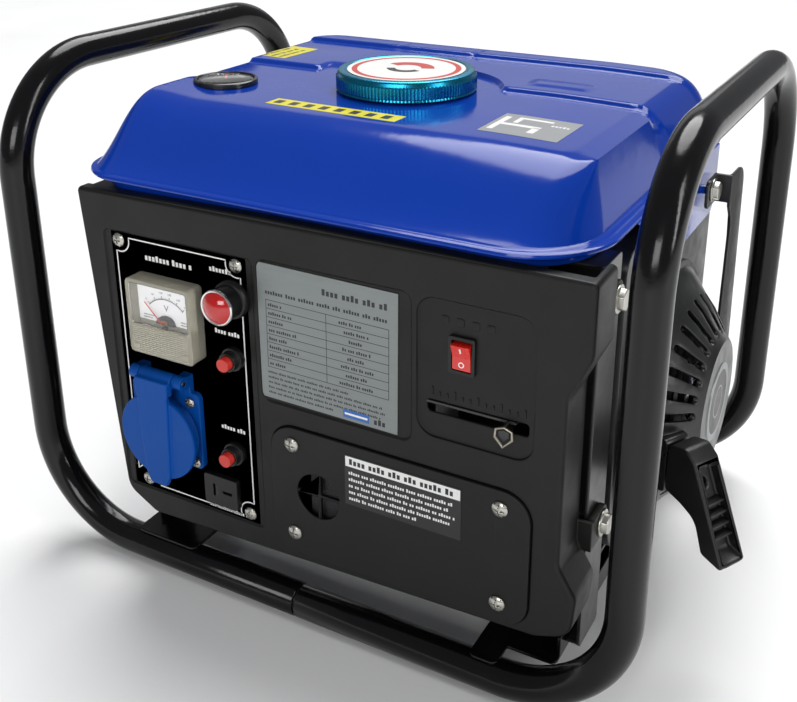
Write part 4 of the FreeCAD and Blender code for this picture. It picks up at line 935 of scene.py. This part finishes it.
def build_rating_plate():
    level = Span("front_cover").y0 + 1.0

    def place(a, b, lift):
        x, z = turned_by((27.0, 186.0), -0.6, a, b)
        return x, level - lift, z

    prints = inked(1, -2, 38, 29.5, 3.6, 7, 0.9) + inked(1, -38, 38, 22.6, 2.3, 5, 1.1)
    top, pitch, line = 19.0, 5.0, 0.35
    prints += [(-38, 38, top - pitch * k, top - pitch * k + line, 1) for k in range(9)]
    prints += [(a, a + line, top - pitch * 8, top + line, 1) for a in (-38.0, 0.0, 37.65)]
    for k in range(8):
        z = top - pitch * (k + 1) + 1.6
        prints += inked(1, -36.5, -36.5 + 9 + (k * 7) % 12, z, 1.9, 3 + k, 0.7)
        prints += inked(1, 8 + (k * 3) % 7, 22 + (k * 5) % 9, z, 1.9, 11 + k, 0.7)
    for k, end in enumerate((14, 34, 36, 33, 4)):
        prints += inked(1, -38, end, -24.6 - 3.1 * k, 1.4, 17 + k, 0.9)
    prints += [(10, 26, -38.4, -33.6, 2), (11, 25, -36.6, -35.4, 3)]
    prints += inked(1, 29, 38, -37.8, 3.4, 2, 0.8)
    printed("rating_plate", (-43.0, 43.0, -40.0, 40.0), prints, place,
            ["plate_silver", "print_black", "print_blue", "print_white"], cell=20.0, thick=0.5)


def build_filter_label():
    level = Span("filter_cover").y0
    prints = [(38.6, 107.4, 119.0, 125.2, 1)]
    prints += inked(2, 41, 105, 120.4, 3.6, 7, 0.8)
    for k, end in enumerate((104, 101, 105, 103, 82)):
        prints += inked(1, 40.5, end, 114.2 - 4.0 * k, 2.0, 21 + k, 0.8)
    printed("filter_label", (38, 108, 95, 126), prints, lambda a, b, lift: (a, level - lift, b),
            ["print_black", "print_white", "print_black"], cell=20.0)


# ---- switch, choke and socket ----
WIRE_R = 0.75


def build_controls():
    softened("engine_switch_bezel", 0.4, "switch_black")
    softened("engine_switch_rocker", 0.3, "rocker_red")
    build_choke_lever()
    recess = Span("front_cover").y0 + 1.4
    relief = Build()
    for k in range(13):
        x, tall = 89 + 4.2 * k, (4.6, 2.6, 2.6)[k % 3]
        tick = rectangle((x, x + 1.0), (174.5, 174.5 + tall), 0.4, 3)
        relief.add(*slab(tick, recess - 0.5, recess + 0.2, 0.2))
    for k in range(4):
        x = 94 + 8.2 * k
        bar = rectangle((x, x + 4.4), (215, 219.5), 1.0, 3)
        relief.add(*slab(bar, recess - 0.35, recess + 0.2, 0.25))
    relief.piece("switch_recess_relief", "black_plastic")
    build_rocker_marks()


def build_choke_lever():
    """A bent wire loop at the end of a flat link that runs in the slot."""
    box = Span("choke_lever")
    top = box.z1 - 2.5
    mid_x = box.x1 - 4.5
    reach = box.y0 + 2.0
    corners = [(0, 1), (4.3, -0.5), (4.6, -4.6), (0, -9.2), (-4.6, -4.6), (-4.3, -0.5), (0, 1)]
    bend = [Vector((mid_x + a, reach + 0.12 * b + 1.0, top + b)) for a, b in corners]
    stem = [Vector((mid_x, reach + 1.2, top + 1.0)), Vector((mid_x, reach + 6, top + 1.4)),
            Vector((mid_x, box.y1 - 0.8, top + 1.4))]
    lever = Build()
    for path in (bend, stem):
        lever.add(*swept([(point, WIRE_R) for point in path], 12))
    link = rectangle((box.x0 + 0.3, box.x1 - 0.3), (box.z1 - 1.7, box.z1 - 0.3), 0.4, 3)
    lever.add(*slab(link, box.y1 - 7.5, box.y1 - 0.5, 0.2), 1)
    plate = [(mid_x + 0.62 * a, top - 0.8 + 0.62 * b) for a, b in corners[:-1]]
    lever.add(*slab(plate, reach + 0.6, reach + 1.3, 0.1), 1)
    lever.piece("choke_lever_wire", ["lever_zinc", "black_steel"], BODY_OF["choke_lever"], ["choke_lever"])


def build_rocker_marks():
    """The bar and the ring that mark the two ends of the rocker, seated on its face."""
    tree = surface(frame["nodes"]["engine_switch_rocker"].data)
    box = Span("engine_switch_rocker")

    def seat(x, z):
        hit = tree.ray_cast(Vector((x, box.y0 - 20, z)), Vector((0, 1, 0)))[0]
        return x, hit.y - 0.06, z

    marks = Build()
    bar = [(-0.45, 2.6), (0.45, 2.6), (0.45, 5.4), (-0.45, 5.4)]
    marks.add([seat(box.x + a, box.z + b) for a, b in bar], [(0, 1, 2, 3)])
    band(marks, (box.x, box.z - 4.1), (1.0, 1.6), 32, seat)
    marks.piece("engine_switch_marks", ["print_white"], BODY_OF["engine_switch_rocker"])


def build_socket():
    softened("ac_socket", 0.5, "socket_blue", segments=3)
    softened("ac_socket_lid", 0.9, "socket_blue", segments=3)
    softened("lid_hinge_pin", 0.1, "machined_steel")


# ---- recoil starter ----
def build_recoil():
    softened("recoil_housing", 0.6, "gloss_plastic", flat_degrees=0.4)
    reel = Span("recoil_reel")
    face = 200.0
    badge = Build()
    for inner, outer, lift, mark in ((0.05, 9, 0.5, 1), (9, 10, 0.5, 0), (10, 19.5, 0.5, 1),
                                     (19.5, 22, 0.55, 0)):
        band(badge, (reel.y, reel.z), (inner, outer), 96, lambda a, b: (face + lift, a, b), mark)
    rim = [(22, face), (22, face + 0.5), (22.8, face + 0.7), (23.6, face + 0.5), (24, face)]
    badge.add(*turned_form(rim, (0, reel.y, reel.z), "x", 96, capped=False), 0)
    badge.piece("recoil_badge", ["plate_silver", "badge_grey"])


def pull_axis():
    """The direction in which the starter grip is pulled."""
    pull = next(joint for joint in frame["joints"] if joint["name"] == "handle_pull")
    return Vector(pull["axis"]).normalized()


def build_handle():
    """The starter grip, with ribs across the floor of its hollow outer face."""
    softened("starter_handle", 1.4, "handle_black", segments=3)
    tree = surface(frame["nodes"]["starter_handle"].data)
    away = pull_axis()
    across = Vector((0, 0, 1)).cross(away).normalized()
    box = Span("starter_handle")
    ribs = Build()
    for k in range(5):
        z = mix(box.z0 + 14, box.z1 - 22, k / 4)
        hit = tree.ray_cast(Vector((box.x, box.y, z)) + away * 40, -away)[0]
        if hit is None:
            continue
        near, far = hit + away * 0.4, hit + away * 5.0
        corners = [Vector((p.x, p.y, p.z + rise))
                   for p, rise in ((near, -0.7), (near, 0.7), (far, 0.7), (far, -0.7))]
        ribs.add([c + across * side for side in (-7.0, 7.0) for c in corners], ring_faces(2, 4))
    ribs.piece("starter_handle_ribs", "handle_black", BODY_OF["starter_handle"])


def build_rope():
    """The straight run of twisted rope between the reel and the grip, laid along the line of the pull."""
    axis = pull_axis()
    low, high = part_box("starter_rope")
    middle = (low + high) / (2 * MM)
    radius, half, steps, around = 2.2, 7.0, 160, 24
    stations = [(middle + axis * (half * (2 * k / steps - 1)), radius - 0.25) for k in range(steps + 1)]
    verts, faces = swept(stations, around)
    shaped = []
    for i, vert in enumerate(verts):
        ring, place = divmod(i, around)
        centre = stations[ring][0]
        swell = 1 + 0.12 * cos(3 * (TURN * place / around) + ring * 0.35)
        shaped.append(centre + (Vector(vert) - centre) * swell)
    rope = add_piece("starter_rope_twisted", shaped, faces, "rope", None, ["starter_rope"], sharp=60)
    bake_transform(rope)


# ---- stickers on the tank ----
def build_tank_stickers(tank):
    tree = surface(tank.data)

    def on_tank(mid, turn):
        def place(a, b, lift):
            spot = Vector((*turned_by(mid, turn, a, b), 330))
            hit, normal, _, _ = tree.ray_cast(spot, Vector((0, 0, -1)))
            return tuple(hit + normal.normalized() * (lift * 0.5 + 0.02))
        return place

    prints = []
    for k in range(8):
        a = -40.5 + 10.4 * k
        prints += [(a, a + 5.2, -3.6, 3.4, 1), (a + 1.4, a + 3.8, -2.2, 1.6, 0)]
    yellow = ["sticker_yellow", "print_black"]
    printed("caution_strip", (-43.5, 43.5, -6.5, 6.5), prints, on_tank((-13.5, -69), -1.5), yellow,
            cell=2.0, lift=0.2)
    prints = []
    for row in range(4):
        prints += inked(1, -17, 12, 10 - 6.5 * row, 3.2, 9 + row, 0.7)
    printed("caution_rear", (-19, 19, -14, 14), prints, on_tank((-128, 48), 86), yellow, cell=2.0, lift=0.2)
    prints = [(-20, -16.5, -14, 14, 1), (-20, 6, -3, 1, 1), (2, 6, -12, -1, 1), (-12, -9, 3, 15, 1),
              (-12, 8, 12, 15, 1)]
    prints += inked(1, 9, 20, 6, 3.0, 5, 0.8)
    printed("tank_mark", (-22.5, 22.5, -20, 20), prints, on_tank((98.5, -50), 0),
            ["sticker_grey", "print_white"], cell=2.0, lift=0.2)


# ---- nodes that keep their CAD form, and the radius of their edges ----
PLAIN = dict(
    frame_joint_sleeves=(0.1, "black_steel"), cross_plates=(0.7, "frame_black"),
    vibration_mounts=(0.9, "rubber_black"), hex_bolts=(0.45, "nickel_screw"),
    engine_base=(0.6, "black_steel"), front_cover=(0.7, "black_plastic"),
    tank_brackets=(0.4, "black_steel"), control_panel=(0.3, "panel_black"),
    cover_screws=(0.22, "nickel_screw"), ac_reset_button=(0.35, "button_red"),
    dc_reset_button=(0.35, "button_red"), reset_switch_bodies=(0.35, "switch_black"),
    dc_outlet=(0.4, "switch_black"), filter_cover=(0.6, "black_plastic"), filter_foam=(1.0, "foam"),
    crankcase_halves=(0.8, "cast_aluminium"), main_bearings=(0.4, "bearing_steel"),
    cylinder=(0.5, "cast_aluminium"), cylinder_head=(0.5, "cast_aluminium"),
    spark_plug=(0.4, "ceramic_black"), crankshaft=(0.4, "machined_steel"),
    big_end_bearing=(0.3, "bearing_steel"), connecting_rod=(0.5, "cast_aluminium"),
    piston=(0.3, "cast_aluminium"), flywheel=(0.5, "cast_aluminium"), ignition_coil=(0.5, "coil_black"),
    fan_shroud=(0.8, "gloss_plastic"), recoil_reel=(0.4, "gloss_plastic"), rope_winding=(0.0, "rope"),
    recoil_spring=(0.05, "spring_steel"), alternator_stator=(0.5, "laminated_steel"),
    stator_windings=(2.0, "copper_winding"), alternator_rotor=(0.4, "laminated_steel"),
    alternator_housing=(0.6, "cast_aluminium"), alternator_end_cover=(0.7, "black_steel"),
    capacitor=(0.8, "gloss_plastic"), carburettor=(0.6, "cast_aluminium"), muffler=(0.8, "exhaust_steel"),
    muffler_guard=(0.4, "exhaust_steel"), cap_seal=(0.4, "rubber_black"), fuel_tap=(0.4, "lever_zinc"),
    fuel_tap_lever=(0.4, "button_red"))


def build_plain_pieces():
    for node, (width, kind) in PLAIN.items():
        softened(node, width, kind)


# ---- studio ----
def build_floor():
    reach, level = 14000.0, -0.3
    corners = [(-reach, -reach, level), (reach, -reach, level), (reach, reach, level), (-reach, reach, level)]
    floor = add_piece("studio_floor", corners, [(0, 1, 2, 3)], "studio_floor", None)


def aimed(name, data, place, target):
    light = new_object(name, data)
    light.location = place
    light.rotation_euler = (Vector(target) - Vector(place)).to_track_quat("-Z", "Y").to_euler()


def area_light(name, place, size, power):
    data = bpy.data.lights.new(name, "AREA")
    data.shape = "RECTANGLE"
    data.size, data.size_y = size
    data.energy = power
    aimed(name, data, place, (0, 0, 0.16))


def overhead_light():
    """One broad light far above, so that the floor is as pale far away as it is near the object."""
    data = bpy.data.lights.new("overhead_soft", "SUN")
    data.energy = 3.3
    data.angle = radians(44)
    aimed("overhead_soft", data, (-0.4, 1.7, 3.0), (0, 0, 0))


def build_world():
    """A dim surround for the light that falls on the object, seen as a pale backdrop."""
    world = bpy.data.worlds.new("studio")
    world.use_nodes = True
    nodes, link = world.node_tree.nodes, world.node_tree.links.new
    surround = nodes["Background"]
    put(surround, Color=(0.95, 0.97, 1.0, 1), Strength=0.22)
    backdrop = nodes.new("ShaderNodeBackground")
    put(backdrop, Color=(1, 1, 1, 1), Strength=0.95)
    path = nodes.new("ShaderNodeLightPath")
    blend = nodes.new("ShaderNodeMixShader")
    link(path.outputs["Is Camera Ray"], blend.inputs[0])
    link(surround.outputs[0], blend.inputs[1])
    link(backdrop.outputs[0], blend.inputs[2])
    link(blend.outputs[0], nodes["World Output"].inputs["Surface"])
    bpy.context.scene.world = world


def build_lights():
    build_world()
    overhead_light()
    area_light("rear_soft", (-2.1, 3.9, 1.7), (3.2, 1.3), 5.5)
    area_light("front_soft", (0.5, -2.6, 1.2), (1.4, 0.8), 26)
    area_light("right_soft", (2.1, -0.3, 1.2), (0.4, 1.6), 18)


def build_camera():
    azimuth, elevation, distance = radians(28.52), radians(20.30), 0.6872
    target = Vector((0.0002, 0.0, 0.2009))
    back = Vector((sin(azimuth) * cos(elevation), -cos(azimuth) * cos(elevation), sin(elevation)))
    data = bpy.data.cameras.new("main_camera")
    data.sensor_width = 36.0
    data.lens = 48.34
    data.shift_x = -0.0189
    data.shift_y = -0.1547
    data.clip_start = 0.02
    data.dof.use_dof = False
    camera = new_object("main_camera", data)
    camera.location = target + back * distance
    camera.rotation_euler = (-back).to_track_quat("-Z", "Y").to_euler()
    bpy.context.scene.camera = camera


def build_all():
    build_plain_pieces()
    build_frame_tubes()
    tank = build_tank()
    build_tank_stickers(tank)
    build_cap()
    build_gauge()
    build_panel_print()
    build_voltmeter()
    build_lamp()
    build_rating_plate()
    build_filter_label()
    build_controls()
    build_socket()
    build_recoil()
    build_handle()
    build_rope()
    build_floor()
    build_lights()
    build_camera()
    bpy.context.scene.view_settings.view_transform = "Standard"


build_all()
